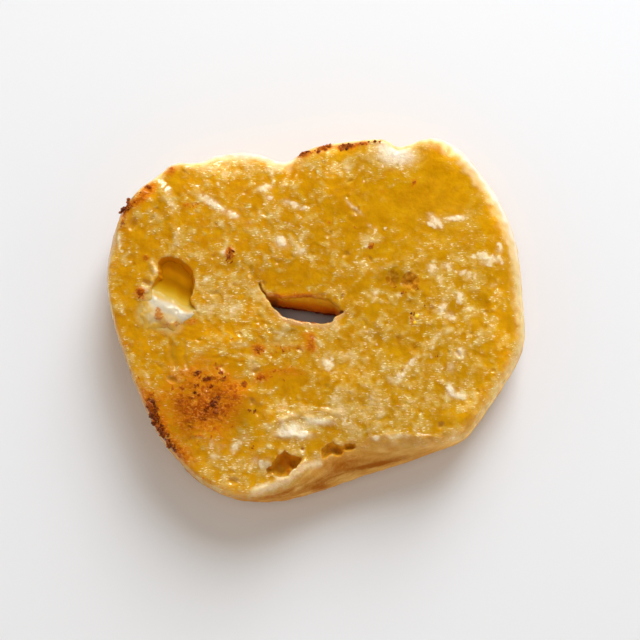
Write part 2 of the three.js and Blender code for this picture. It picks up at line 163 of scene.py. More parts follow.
# orange-brown toasting
TOAST = [
    (-26.9, -21.3, 9.8, 8.3, 0, 0.55), (-26.6, -23.7, 6.4, 5.9, 0, 0.3), (-28.2, -14.4, 4.9, 2.9, 0, 0.15),
    (-19.6, -20.1, 3.4, 3.4, 0, 0.2), (-22.7, -32.2, 2.9, 2.5, 0, 0.15), (-7.0, -14.4, 6.4, 1.7, 0, 0.35),
    (-13.1, -15.9, 2.0, 1.5, 20, 0.45), (-14.1, -8.8, 1.7, 1.5, 0, 0.7), (-5.8, -8.5, 5.9, 1.2, 0, 0.3),
    (-1.1, -7.3, 1.2, 2.5, 0, 0.5), (-2.6, -5.6, 2.5, 1.2, 0, 0.3), (-43.2, 12.8, 2.0, 3.9, 0, 0.12),
    (-43.1, 5.1, 1.7, 1.7, -50, 0.55), (-41.7, 13.8, 1.0, 0.7, 0, 0.5), (-32.0, 27.1, 1.2, 0.7, 20, 0.55),
    (-29.6, 27.1, 1.0, 1.0, 0, 0.25), (-21.3, 14.8, 1.0, 2.0, -15, 0.8), (-3.8, 4.6, 6.4, 0.7, 0, 0.45),
    (-9.7, 4.1, 2.2, 1.0, -25, 0.35), (-33.7, -2.6, 1.7, 1.2, 20, 0.55), (-30.3, -1.9, 1.7, 1.0, -10, 0.5),
    (-46.7, -1.1, 1.5, 5.4, 0, 0.2), (-45.9, -7.8, 1.5, 5.4, -65, 0.2), (-40.3, -21.3, 2.2, 5.4, 25, 0.45),
    (-38.3, -27.4, 2.0, 4.9, 25, 0.55), (-32.4, -33.9, 2.0, 4.9, 48, 0.5), (-35.0, -14.4, 2.5, 2.5, 0, 0.15),
    (-47.0, 20.3, 1.5, 4.9, 10, 0.25), (-45.1, 27.1, 1.5, 5.9, -52, 0.6), (-41.0, 31.4, 1.5, 2.0, -45, 0.4),
    (-36.1, 35.9, 1.5, 1.5, 0, 0.45), (-3.1, 40.0, 2.0, 1.0, 15, 0.7), (2.1, 41.5, 2.2, 1.0, 10, 0.75),
    (7.8, 41.8, 2.7, 1.0, 5, 0.65), (11.8, 42.8, 1.7, 0.7, 10, 0.45), (16.9, 34.9, 1.0, 1.5, 0, 0.25),
    (24.4, 33.1, 0.7, 1.5, -30, 0.55), (13.6, 16.8, 0.7, 0.7, 0, 0.6), (3.3, 22.8, 0.6, 0.7, 0, 0.4),
    (9.7, 21.5, 1.0, 0.4, 0, 0.35), (16.7, 30.9, 1.5, 0.7, 0, 0.3), (2.6, 19.3, 0.5, 0.7, 0, 0.25),
    (27.2, -7.8, 1.0, 1.0, 0, 0.18), (20.1, -22.3, 1.5, 1.0, 0, 0.22), (29.3, -24.2, 2.9, 1.0, 0, 0.15),
    (29.7, -10.5, 0.5, 1.2, 0, 0.35), (23.6, -1.6, 0.6, 2.0, 0, 0.4), (28.1, 1.6, 1.7, 1.2, 0, 0.25),
    (-13.0, -36.4, 2.5, 1.5, 30, 0.1), (-28.3, -7.8, 3.4, 1.5, 0, 0.12), (-27.0, -11.0, 2.5, 1.2, 0, 0.15),
    (-35.8, -31.0, 1.2, 3.4, 38, 0.45), (-40.3, -23.7, 1.2, 2.5, 0, 0.3), (-33.0, -21.8, 1.5, 2.5, 0, 0.15),
    (-32.4, -27.4, 1.5, 2.5, 20, 0.15), (-27.7, -18.8, 3.4, 2.5, 0, -0.12), (-39.0, -25.2, 1.5, 2.9, 0, -0.1),
    (-30.6, -22.5, 2.9, 2.5, 0, 0.1), (-36.7, -19.3, 1.5, 2.0, 0, 0.15),
]
# dark spots
BURN = [
    (-24.7, -22.0, 1.5, 1.2, 0, 0.9), (-28.9, -14.9, 1.0, 0.7, 0, 0.8), (-26.2, -16.2, 1.7, 0.7, 10, 0.8),
    (-22.8, -16.4, 1.2, 0.7, 20, 0.6), (-17.4, -17.4, 1.0, 0.6, 10, 0.7), (-19.4, -20.8, 1.0, 0.7, 30, 0.5),
    (-24.1, -13.0, 0.7, 0.7, 0, 0.5), (-26.4, -23.7, 1.0, 0.7, 0, 0.6), (-29.4, -19.6, 1.0, 0.6, 0, 0.5),
    (-30.5, -27.4, 2.0, 1.2, 60, 0.4), (-27.1, -25.7, 1.2, 1.0, 0, 0.4), (-22.7, -25.7, 1.0, 1.0, 0, 0.35),
    (-31.6, -16.4, 0.7, 0.7, 0, 0.35), (-22.2, -29.1, 0.7, 0.7, 0, 0.3), (-39.8, -23.2, 1.5, 2.0, 10, 0.9),
    (-38.5, -27.4, 1.2, 2.9, 20, 0.9), (-36.5, -30.3, 1.2, 1.5, 40, 0.6), (-34.8, -33.0, 1.2, 1.5, 45, 0.6),
    (-46.6, 26.3, 1.0, 2.2, -60, 0.7), (-47.5, 22.8, 0.7, 2.0, -15, 0.4), (-45.2, 29.1, 0.7, 2.0, -50, 0.5),
    (-41.7, 31.9, 0.5, 0.7, 0, 0.6), (-36.1, 36.9, 0.7, 0.5, 0, 0.5), (-21.3, 14.8, 0.6, 1.2, -20, 0.8),
    (-3.4, 40.2, 1.5, 0.4, 12, 0.8), (2.3, 41.8, 2.0, 0.5, 8, 0.8), (7.5, 42.3, 1.7, 0.4, 5, 0.6),
    (10.3, 42.8, 1.0, 0.3, 0, 0.5), (-14.1, -9.0, 0.7, 0.7, 0, 0.5), (-43.3, 4.8, 0.7, 1.0, 0, 0.5),
    (24.4, 33.1, 0.4, 1.0, -35, 0.5), (13.6, 16.3, 0.7, 0.4, 0, 0.5), (-13.1, -16.2, 1.0, 0.5, 20, 0.4),
    (-40.3, -22.3, 0.7, 1.5, 0, 0.55), (-39.4, -25.7, 0.7, 2.0, 12, 0.6), (-37.8, -29.1, 0.7, 1.7, 25, 0.45),
    (-35.3, -32.5, 0.7, 1.5, 40, 0.3), (-39.3, -25.7, 1.0, 2.9, 10, -0.12),
]
# white smears of butter on the cut
BUTTERWHITE = [
    (-25.4, 27.6, 3.7, 1.1, -35, 0.8), (-12.8, 31.6, 2.2, 0.9, 15, 0.7), (-11.5, 29.1, 1.0, 0.7, 0, 0.6),
    (-20.4, 24.6, 1.5, 1.0, -20, 0.7), (-8.3, 17.5, 2.2, 1.5, -10, 0.5), (-8.8, 18.3, 0.9, 0.9, 0, 0.9),
    (-3.4, 15.3, 1.0, 0.7, 0, 0.6), (-4.6, 26.8, 2.5, 0.7, -25, 0.45), (-7.3, 27.8, 1.5, 1.0, 0, 0.4),
    (-7.2, -29.3, 2.9, 1.3, 0, 0.85), (-3.0, -29.8, 2.7, 1.1, -3, 0.65), (-7.9, -27.1, 1.1, 1.7, 20, 0.5),
    (-5.5, -27.4, 0.9, 1.5, 0, 0.5), (-2.3, -26.2, 1.5, 0.9, -30, 0.6), (0.8, -26.4, 2.2, 0.9, 5, 0.75),
    (3.8, -26.7, 1.7, 1.0, 10, 0.35), (2.8, -12.2, 1.7, 1.2, -30, 0.8), (20.2, 40.2, 4.4, 2.7, 0, 1.215),
    (17.5, 42.3, 2.2, 1.5, 0, 0.81), (29.7, 23.1, 2.0, 1.2, -35, 0.7), (34.7, 24.1, 2.7, 0.7, 6, 0.8),
    (32.3, 12.0, 1.7, 1.0, 0, 0.4), (36.2, 10.3, 2.9, 0.7, 0, 0.3), (35.4, 4.1, 1.0, 1.2, 0, 0.7),
    (31.2, 1.6, 1.0, 2.0, -25, 0.5), (32.9, -0.6, 1.2, 1.2, -40, 0.5), (32.8, -18.4, 0.7, 1.7, 20, 0.8),
    (35.2, -20.3, 1.5, 0.7, 0, 0.9), (33.2, -19.3, 1.2, 1.2, 0, 0.5), (28.6, 11.5, 1.5, 1.0, -35, 0.5),
    (42.9, 13.8, 3.4, 1.0, -8, 0.6), (45.4, 16.0, 1.0, 1.0, 0, 0.5), (41.9, 12.5, 1.5, 0.7, 0, 0.4),
    (8.5, 27.3, 2.2, 0.5, -50, 0.4), (10.7, 25.6, 1.7, 0.5, -45, 0.4), (13.4, 21.8, 1.2, 0.5, -40, 0.3),
    (14.7, -30.5, 1.5, 0.7, 0, 0.8), (20.3, -30.1, 2.9, 0.7, 0, 0.6), (1.1, -7.8, 1.0, 0.7, 0, 0.4),
    (36.0, -9.5, 1.0, 1.5, 0, 0.5), (33.1, -13.2, 1.0, 1.5, -10, 0.5), (-19.5, -32.7, 1.0, 1.7, -30, 0.7),
    (-17.1, -30.5, 1.2, 1.0, 0, 0.3), (-11.8, -37.1, 1.0, 1.7, -20, 0.5), (-14.7, -36.4, 1.5, 1.5, 0, 0.4),
    (-24.4, -35.2, 1.5, 1.0, 0, 0.35), (-17.7, -7.8, 2.0, 0.7, 0, 0.25), (-25.4, 1.8, 2.5, 0.7, 5, 0.35),
    (-19.5, 1.3, 2.2, 0.6, 0, 0.3), (-46.4, 29.6, 0.7, 0.5, 0, 0.3), (-36.5, 30.4, 1.0, 1.5, 20, 0.35),
    (-35.5, 26.3, 0.7, 2.0, 10, 0.3), (20.2, 4.6, 1.2, 0.7, 0, 0.25), (13.7, 18.3, 2.0, 1.2, 0, 0.25),
    (12.2, 17.8, 1.0, 2.0, 0, 0.2), (23.3, -12.0, 2.2, 0.7, 45, 0.45), (21.1, -14.9, 2.0, 0.7, 40, 0.35),
    (18.6, -16.4, 1.2, 1.0, 0, 0.4), (28.5, 25.3, 1.0, 0.5, 0, 0.3), (16.1, 11.3, 1.2, 0.5, 0, 0.3),
    (43.6, 7.1, 1.0, 0.7, 0, 0.3), (-16.2, 22.8, 1.0, 0.7, 0, 0.3), (-21.3, 4.1, 1.5, 0.7, 0, 0.25),
    (-31.0, 18.3, 1.2, 0.7, 0, 0.25), (-32.5, 4.3, 0.7, 0.5, 0, 0.2), (-13.2, 10.8, 1.2, 1.0, 0, 0.15),
    (-48.6, 18.3, 0.7, 1.7, 0, 0.55),
]
# ridges and grooves: points, half width, height
LINES = [
    ([(-39.5, 32.9), (-38.0, 30.4), (-36.7, 26.8), (-35.5, 22.8), (-33.9, 18.3)], 1.1, 0.3),
    ([(-36.1, 31.9), (-34.5, 29.3), (-33.5, 25.8)], 0.8, -0.25),
    ([(-16.9, -19.3), (-14.5, -21.0), (-12.1, -23.7), (-10.8, -27.1), (-10.6, -31.0), (-11.5, -34.4), (-13.0, -37.3)], 0.95, 0.16),
    ([(-15.5, -21.8), (-13.5, -23.7), (-12.3, -27.1), (-12.5, -31.0)], 1.3, -0.22),
    ([(-10.8, -27.1), (-7.4, -25.7), (-3.8, -25.2)], 0.5, 0.2),
    ([(-18.4, -20.3), (-16.0, -21.3), (-14.0, -21.8)], 0.7, 0.1),
    ([(-13.8, 7.5), (-13.6, 6.7), (-13.2, 5.9), (-12.3, 4.9), (-11.7, 3.8)], 0.24, -1.7),
    ([(-12.8, 7.8), (-12.6, 7.1)], 0.2, -0.7),
    ([(13.7, -30.3), (16.9, -29.6), (20.5, -29.3), (25.4, -30.1), (30.2, -30.3)], 0.5, 0.3),
    ([(-8.6, -26.4), (-4.8, -24.2), (0.6, -23.5), (5.9, -24.5)], 0.8, 0.3),
    ([(-31.7, -7.6), (-32.1, -11.0), (-31.1, -13.5)], 0.5, -0.35),
    ([(-35.3, -7.8), (-35.1, -10.5), (-34.1, -13.5)], 0.6, -0.4),
    ([(-12.9, -42.9), (-11.0, -41.4), (-9.1, -40.7), (-6.9, -40.0), (-5.9, -38.5), (-4.2, -37.2), (-2.6, -36.1)], 0.55, 0.45),
    ([(0.6, -33.9), (2.5, -32.2), (5.0, -31.3), (8.4, -31.8), (10.3, -32.5)], 0.5, 0.15),
    ([(-3.1, -25.4), (0.6, -25.2), (4.0, -25.9)], 0.5, 0.3),
    ([(-40.4, 12.2), (-39.5, 11.0), (-39.0, 9.7), (-40.0, 8.1)], 0.72, 0.62),
    ([(-40.0, 8.1), (-41.4, 6.6), (-42.9, 5.6)], 0.8, 0.25),
    ([(-9.1, -29.6), (-6.2, -30.1), (-2.6, -29.9), (-0.1, -29.3)], 0.9, 0.4),
    ([(-8.2, -25.7), (-7.2, -27.9), (-6.0, -29.3)], 0.55, 0.3),
    ([(-4.0, -24.2), (-1.8, -25.9), (1.1, -26.7), (4.2, -26.2)], 0.65, 0.3),
    ([(-21.6, -10.8), (-18.5, -11.5), (-15.5, -11.2), (-13.1, -12.5), (-12.1, -14.4)], 0.35, 0.18),
    ([(-24.8, -10.3), (-20.4, -9.5), (-17.7, -10.5)], 0.3, 0.15),
]
# the crust seen from above: lighter and darker parts
CRUSTTONE = [
    (-8.4, -41.4, 3.9, 1.2, 22, 0.9), (-3.8, -38.3, 3.4, 2.2, 15, 0.45), (0.1, -37.3, 3.4, 2.0, 10, 0.25),
    (-18.3, -43.6, 4.4, 1.2, -4, 0.5), (1.3, -41.9, 2.2, 1.7, 30, -0.45), (3.5, -38.8, 2.5, 2.0, 0, -0.15),
    (7.1, -36.8, 5.4, 2.0, 14, -0.35), (14.4, -36.6, 6.4, 0.6, 14, -0.55), (20.5, -35.6, 7.4, 0.6, 13, -0.35),
    (27.8, -32.7, 5.9, 0.6, 16, -0.25), (21.7, -32.7, 9.8, 0.7, 10, 0.1), (-8.6, -43.6, 5.4, 0.7, 12, -0.1),
    (7.1, -40.2, 4.9, 0.7, 20, 0.1), (37.5, -29.1, 3.9, 1.0, 30, 0.1),
]
# clusters of toasted crumbs: x, y, half length, half width, turn, count, small, large, lightest, darkest
BITS = [
    (-38.4, -0.6, 1.7, 1.6, -10, 34, 0.22, 0.5, 0.05, 0.55), (-43.1, 5.1, 1.5, 1.2, -50, 20, 0.22, 0.5, 0.1, 0.75),
    (-33.9, -2.6, 0.7, 0.5, 0, 5, 0.2, 0.35, 0, 0.2), (-30.3, -2.1, 1.5, 0.9, 0, 12, 0.2, 0.4, 0.1, 0.4),
    (-21.3, 14.8, 0.9, 1.8, -20, 22, 0.22, 0.48, 0.35, 0.9), (-29.8, 27.1, 1.2, 0.6, 20, 9, 0.18, 0.32, 0.2, 0.6),
    (-41.7, 13.8, 0.7, 0.5, 0, 6, 0.18, 0.3, 0.15, 0.5), (-44.4, 12.5, 1.0, 0.7, 0, 4, 0.15, 0.28, 0.1, 0.4),
    (-24.7, -22.0, 1.5, 1.2, 0, 26, 0.2, 0.45, 0.45, 1), (-28.9, -14.9, 1.0, 0.7, 0, 12, 0.2, 0.38, 0.4, 0.95),
    (-26.2, -16.2, 1.7, 0.6, 10, 16, 0.2, 0.38, 0.4, 0.95), (-22.8, -16.4, 1.2, 0.7, 20, 14, 0.2, 0.4, 0.3, 0.8),
    (-17.4, -17.4, 1.0, 0.6, 10, 9, 0.2, 0.35, 0.4, 0.8), (-19.4, -20.8, 1.0, 0.7, 30, 9, 0.18, 0.35, 0.3, 0.7),
    (-24.1, -13.0, 1.0, 1.0, 0, 9, 0.18, 0.35, 0.25, 0.6), (-27.2, -20.1, 6.4, 5.4, 0, 130, 0.2, 0.5, 0.05, 0.6),
    (-26.6, -28.1, 5.4, 2.9, 10, 50, 0.18, 0.42, 0.05, 0.5), (-14.1, -8.8, 1.0, 1.0, 0, 14, 0.2, 0.38, 0.3, 0.8),
    (-12.8, -16.4, 1.2, 0.7, 15, 8, 0.18, 0.32, 0.2, 0.5), (-6.3, -9.0, 5.9, 1.2, 0, 44, 0.15, 0.3, 0.1, 0.5),
    (-7.7, -14.2, 5.9, 2.2, 0, 60, 0.15, 0.32, 0.1, 0.55), (-1.1, -7.3, 0.7, 1.7, 0, 12, 0.18, 0.32, 0.15, 0.5),
    (-39.3, -24.2, 1.2, 3.7, 14, 52, 0.25, 0.6, 0.5, 1), (-41.3, -22.0, 1.0, 1.2, 0, 14, 0.2, 0.45, 0.5, 1),
    (-37.3, -29.1, 1.0, 2.0, 30, 26, 0.22, 0.48, 0.4, 0.95), (-34.6, -33.5, 1.0, 2.0, 42, 22, 0.2, 0.42, 0.35, 0.9),
    (-32.1, -35.4, 1.2, 1.5, 48, 12, 0.18, 0.35, 0.25, 0.7), (-47.4, 26.1, 0.9, 0.7, 30, 10, 0.25, 0.5, 0.6, 1),
    (-48.1, 25.6, 0.7, 0.4, 10, 4, 0.25, 0.45, 0.6, 0.9), (-46.1, 27.6, 1.0, 1.2, -55, 18, 0.2, 0.42, 0.4, 0.9),
    (-44.2, 30.1, 1.0, 1.5, -45, 16, 0.2, 0.38, 0.3, 0.8), (-41.7, 31.9, 0.7, 0.7, 0, 9, 0.2, 0.38, 0.45, 0.85),
    (-47.5, 22.8, 0.6, 2.0, -10, 14, 0.18, 0.35, 0.35, 0.75), (-35.9, 36.7, 0.7, 0.7, 0, 8, 0.18, 0.35, 0.3, 0.7),
    (-3.4, 40.0, 1.7, 0.4, 14, 24, 0.2, 0.42, 0.35, 0.95), (1.8, 41.2, 2.2, 0.6, 16, 34, 0.2, 0.45, 0.3, 0.95),
    (7.5, 41.8, 2.2, 0.6, 6, 34, 0.2, 0.45, 0.3, 0.9), (11.5, 42.8, 1.5, 0.4, 8, 16, 0.18, 0.35, 0.3, 0.8),
    (15.2, 43.2, 1.5, 0.2, 0, 6, 0.15, 0.25, 0.4, 0.8), (24.4, 33.1, 0.4, 1.0, -30, 9, 0.15, 0.28, 0.3, 0.7),
    (13.6, 16.8, 0.8, 0.6, 0, 10, 0.15, 0.28, 0.35, 0.8), (3.3, 22.8, 0.4, 0.7, 0, 4, 0.14, 0.24, 0.2, 0.5),
    (16.9, 34.9, 0.7, 1.2, 0, 5, 0.12, 0.22, 0.1, 0.35), (23.6, -0.6, 0.5, 1.2, 0, 7, 0.15, 0.28, 0.5, 1),
    (29.9, -10.5, 0.4, 1.0, 0, 4, 0.14, 0.24, 0.3, 0.7), (-15.5, -24.0, 1.2, 0.5, 0, 7, 0.14, 0.26, 0.4, 0.9),
    (-17.9, -26.9, 0.5, 0.5, 0, 3, 0.14, 0.24, 0.3, 0.7), (-15.4, -32.7, 0.5, 0.5, 0, 4, 0.15, 0.26, 0.5, 0.9),
    (-8.0, 3.3, 2.2, 0.7, -20, 16, 0.16, 0.3, 0.1, 0.5), (-3.3, 4.6, 3.4, 0.6, 0, 18, 0.15, 0.28, 0.1, 0.5),
    (-0.6, -21.8, 0.7, 0.5, 0, 4, 0.14, 0.24, 0.3, 0.6), (37.1, -24.2, 0.4, 0.4, 0, 2, 0.15, 0.22, 0.5, 0.9),
    (-49.8, -4.1, 0.4, 5.4, -8, 22, 0.14, 0.3, 0.05, 0.35), (-47.8, -12.0, 0.5, 3.9, -20, 18, 0.14, 0.3, 0.1, 0.4),
    (-44.2, -18.4, 0.7, 2.9, -25, 16, 0.15, 0.32, 0.2, 0.6), (-28.0, -39.3, 0.7, 2.9, 50, 14, 0.14, 0.26, 0.1, 0.4),
    (-49.1, 12.8, 0.5, 3.4, 4, 12, 0.14, 0.26, 0.1, 0.4), (-3.8, 18.3, 0.7, 0.5, 0, 3, 0.13, 0.22, 0.2, 0.5),
    (9.7, 21.5, 0.7, 0.3, 0, 3, 0.12, 0.2, 0.2, 0.5), (27.3, 2.6, 0.7, 1.0, 0, 6, 0.14, 0.26, 0.2, 0.6),
    (-26.2, -21.3, 3.9, 2.9, 0, 12, 0.35, 0.62, 0.3, 0.8), (-31.0, -25.0, 2.0, 3.4, 0, 12, 0.3, 0.5, 0.2, 0.6),
    (-22.8, -23.2, 2.5, 2.5, 0, 9, 0.3, 0.5, 0.2, 0.7), (-24.7, -22.0, 0.5, 0.4, 20, 14, 0.35, 0.6, 0.85, 1),
    (-23.5, -20.6, 0.5, 0.4, 30, 8, 0.3, 0.5, 0.75, 1), (-28.9, -14.9, 0.4, 0.4, 0, 7, 0.3, 0.5, 0.85, 1),
    (-26.2, -16.2, 0.8, 0.3, 8, 12, 0.3, 0.5, 0.8, 1), (-23.1, -14.7, 0.4, 0.3, 0, 8, 0.3, 0.45, 0.55, 0.85),
    (-17.4, -17.4, 0.5, 0.4, 0, 9, 0.3, 0.5, 0.45, 0.7), (-13.1, -15.9, 0.7, 0.4, -25, 12, 0.3, 0.5, 0.4, 0.65),
    (-19.4, -20.6, 0.6, 0.4, -20, 10, 0.3, 0.5, 0.35, 0.6), (-29.4, -17.9, 0.5, 0.4, 0, 7, 0.25, 0.45, 0.6, 0.9),
    (-25.2, -18.1, 0.3, 0.3, 0, 4, 0.25, 0.4, 0.8, 1), (-16.3, -23.9, 0.3, 0.2, 0, 4, 0.22, 0.32, 0.7, 0.9),
    (-14.7, -23.9, 0.3, 0.2, 0, 3, 0.22, 0.32, 0.7, 0.9), (24.1, 0.1, 0.1, 0.3, 10, 3, 0.2, 0.3, 0.9, 1),
    (23.9, -1.3, 0.1, 0.1, 0, 2, 0.2, 0.3, 0.9, 1), (29.8, -10.3, 0.1, 0.4, 5, 4, 0.2, 0.3, 0.8, 1),
    (26.8, 1.8, 0.1, 0.5, 0, 4, 0.2, 0.3, 0.7, 0.95), (19.5, 6.4, 0.3, 0.2, 0, 4, 0.22, 0.34, 0.6, 0.9),
    (21.7, 5.1, 0.4, 0.2, 0, 4, 0.22, 0.34, 0.5, 0.8), (24.9, 6.1, 0.3, 0.2, 0, 4, 0.22, 0.34, 0.6, 0.9),
]
# clusters of cream crumbs and flecks of butter: x, y, half length, half width, turn, count, small, large
FLECKS = [
    (-25.4, 27.6, 3.2, 0.9, -35, 26, 0.28, 0.62), (-12.8, 31.6, 2.2, 0.9, 15, 20, 0.28, 0.6),
    (-11.3, 29.1, 1.0, 0.7, 0, 6, 0.25, 0.5), (-20.2, 24.6, 1.5, 0.9, -25, 9, 0.25, 0.5),
    (-8.5, 18.3, 1.5, 1.0, 0, 9, 0.3, 0.75), (-3.1, 15.3, 0.7, 0.6, 0, 3, 0.35, 0.6),
    (-4.6, 27.1, 2.2, 1.0, -25, 16, 0.25, 0.5), (-3.9, 21.3, 3.4, 2.0, -20, 16, 0.2, 0.42),
    (7.9, -27.1, 4.4, 2.0, -5, 60, 0.22, 0.36), (2.8, -12.2, 1.5, 1.2, -30, 16, 0.3, 0.65),
    (18.9, 39.5, 4.2, 2.7, 0, 34, 0.22, 0.5), (29.7, 23.1, 2.0, 1.0, -35, 16, 0.3, 0.6),
    (34.7, 24.1, 2.5, 0.5, 6, 16, 0.28, 0.5), (32.3, 12.0, 1.7, 1.0, -20, 12, 0.25, 0.5),
    (37.5, 10.0, 3.9, 1.0, -8, 26, 0.25, 0.55), (35.4, 3.8, 0.6, 1.0, 0, 4, 0.4, 0.75),
    (31.0, 1.3, 1.2, 2.2, -25, 16, 0.25, 0.55), (33.2, -0.6, 1.2, 1.0, -40, 10, 0.25, 0.5),
    (32.8, -18.4, 0.7, 1.5, 20, 10, 0.3, 0.55), (35.4, -20.3, 1.2, 0.6, 0, 8, 0.35, 0.65),
    (28.9, 11.5, 1.5, 1.0, -35, 14, 0.3, 0.6), (42.9, 14.0, 3.7, 0.9, -6, 28, 0.28, 0.6),
    (45.7, 16.8, 0.7, 1.2, 0, 9, 0.28, 0.55), (42.2, 12.3, 1.2, 0.6, 0, 7, 0.25, 0.5),
    (9.2, 26.8, 2.5, 0.5, -45, 16, 0.2, 0.4), (13.7, 21.3, 1.5, 0.6, -40, 8, 0.2, 0.4),
    (14.7, -30.5, 1.5, 0.6, 0, 10, 0.3, 0.6), (20.0, -30.1, 3.4, 0.6, 0, 22, 0.25, 0.5),
    (36.0, -9.5, 1.0, 1.2, 0, 7, 0.28, 0.5), (-19.3, -33.0, 0.7, 1.7, -35, 12, 0.3, 0.6),
    (-13.0, -37.3, 1.0, 1.5, -15, 9, 0.3, 0.6), (-24.1, -35.2, 1.5, 1.0, 0, 8, 0.22, 0.4),
    (23.3, -12.0, 2.0, 0.7, 45, 14, 0.25, 0.5), (21.1, -14.9, 2.0, 0.7, 40, 12, 0.25, 0.5),
    (20.2, 4.3, 1.2, 0.6, 0, 9, 0.2, 0.4), (12.4, 17.5, 1.0, 1.7, 0, 12, 0.2, 0.4),
    (-36.5, 29.3, 1.0, 2.2, 20, 12, 0.22, 0.42), (-27.6, 3.3, 2.9, 2.0, 0, 16, 0.18, 0.36),
    (-24.6, -1.1, 4.4, 1.2, -8, 16, 0.18, 0.36), (-32.1, 6.3, 1.5, 2.5, 0, 12, 0.18, 0.34),
    (37.8, -4.1, 7.4, 4.9, 0, 60, 0.18, 0.4), (28.0, -9.0, 7.4, 5.9, 0, 60, 0.18, 0.38),
    (37.9, 7.1, 6.4, 5.4, 0, 50, 0.18, 0.4), (8.4, -9.0, 6.4, 4.9, 0, 40, 0.17, 0.36),
    (15.7, -20.1, 8.3, 4.4, -8, 60, 0.17, 0.36), (-6.3, 22.0, 6.4, 4.9, 0, 36, 0.17, 0.36),
    (-22.4, 32.1, 6.4, 3.4, -8, 26, 0.17, 0.36), (-21.1, 10.8, 6.4, 4.9, 0, 26, 0.17, 0.34),
    (25.7, 18.3, 7.4, 3.4, -10, 34, 0.17, 0.36), (6.0, 36.4, 4.4, 2.5, 0, 18, 0.17, 0.36),
    (-18.3, -37.1, 6.4, 2.9, -25, 30, 0.17, 0.36), (12.1, -4.1, 5.9, 2.5, -5, 26, 0.17, 0.36),
    (-16.0, -6.6, 4.9, 1.5, 0, 16, 0.17, 0.34), (-35.6, -10.3, 2.9, 4.4, 0, 12, 0.17, 0.32),
    (-3.8, -21.3, 5.9, 2.9, 0, 20, 0.17, 0.34), (-48.2, 17.0, 0.6, 1.5, 15, 8, 0.3, 0.6),
    (5.9, -27.1, 3.4, 1.5, -8, 30, 0.2, 0.34),
]
# painted light and shade: how much lighter or darker than the rest, by how deep the light gets in: x, y, half length,
# half width, turn, strength
LIGHT = [
    (3.6, 41.0, 7.8, 2.2, 8, 0.42), (30.9, 41.5, 4.9, 2.9, -20, 0.28), (-22.5, 36.4, 10.8, 2.7, -6, 0.36),
    (-41.0, 30.9, 2.2, 3.4, -45, 0.35), (-5.9, 35.4, 3.4, 2.9, 0, 0.3), (4.1, 35.4, 3.4, 2.5, 0, 0.3),
    (-31.1, 31.9, 3.4, 2.5, -30, 0.15), (-10.8, 30.9, 2.9, 2.0, 0, 0.15), (6.0, 30.9, 7.4, 2.5, 0, 0.14),
    (44.0, 23.3, 2.5, 12.3, 6, 0.2), (45.2, 3.3, 2.5, 6.4, 0, 0.14), (46.3, -9.0, 2.5, 8.8, 10, 0.3),
    (37.6, -21.8, 6.4, 2.9, 40, 0.26), (42.6, -14.4, 3.9, 3.9, 0, 0.16), (-11.7, 11.3, 4.9, 2.0, 0, -0.14),
    (-22.9, -4.6, 5.4, 2.2, -5, 0.22), (-43.0, -1.1, 2.5, 4.4, 0, -0.12), (-6.3, -4.1, 3.4, 1.5, 0, -0.22),
    (-16.1, 0.6, 2.0, 2.0, 0, 0.18), (13.8, -4.3, 2.0, 1.7, 0, -0.12), (-35.1, -9.5, 2.5, 2.5, 0, -0.16),
    (8.4, -14.4, 5.9, 2.5, 0, 0.18), (-18.4, -18.4, 3.4, 2.0, 0, 0.22), (-11.1, -23.7, 3.4, 2.2, 0, 0.2),
    (-2.8, -23.7, 2.9, 2.0, 0, 0.1), (-31.0, -28.6, 2.9, 2.9, 0, -0.14), (-32.5, -22.5, 2.5, 3.9, 0, -0.12),
    (-11.0, -37.8, 3.4, 2.0, -20, -0.3), (3.5, -34.7, 7.4, 2.0, 6, -0.1), (20.5, -34.9, 9.8, 1.7, 10, -0.1),
    (10.8, -38.8, 12.3, 2.2, 10, -0.18), (19.5, 9.5, 2.5, 2.0, 0, -0.18), (-19.8, 10.8, 4.9, 2.9, 0, -0.06),
    (37.8, -4.1, 4.9, 4.9, 0, 0.08), (30.5, 3.3, 5.9, 4.9, 0, 0.02), (34.5, 35.9, 4.9, 6.4, 0, 0.1),
    (-24.5, -15.2, 2.5, 2.0, 0, 0.08), (-2.6, 3.3, 4.9, 1.2, 0, 0.05), (-17.4, -25.7, 3.4, 4.4, 0, -0.2),
    (-22.7, 29.3, 6.4, 2.5, -10, 0.06), (19.5, 9.3, 2.9, 2.2, 0, -0.1), (-40.6, 0.4, 2.5, 3.4, 0, -0.05),
    (25.9, 38.5, 3.4, 2.9, 0, 0.08), (21.5, 8.1, 2.2, 1.7, 0, -0.14), (-7.5, -5.3, 3.9, 2.0, 0, -0.08),
    (32.2, -26.4, 5.4, 2.2, 6, -0.1), (6.0, 40.7, 12.3, 1.2, 4, 0.12), (28.9, 41.5, 6.4, 1.5, -12, 0.1),
    (-18.4, -27.4, 2.5, 2.9, 0, -0.05), (-20.7, -43.1, 5.4, 1.5, 0, 0.16), (-16.8, -43.6, 2.9, 1.0, 0, 0.1),
    (-26.0, -37.8, 3.9, 1.5, -38, 0.1), (-4.3, 2.1, 6.4, 1.5, -10, 0.2), (-34.3, 5.1, 2.0, 1.2, 0, 0),
    (33.4, 41.0, 3.4, 2.2, -20, 0.05), (23.2, 3.3, 1.5, 1.2, 0, -0.1), (33.4, 41.0, 4.9, 1.7, -25, 0.05),
    (43.2, -21.8, 3.4, 0.4, 64, 0.22),
]
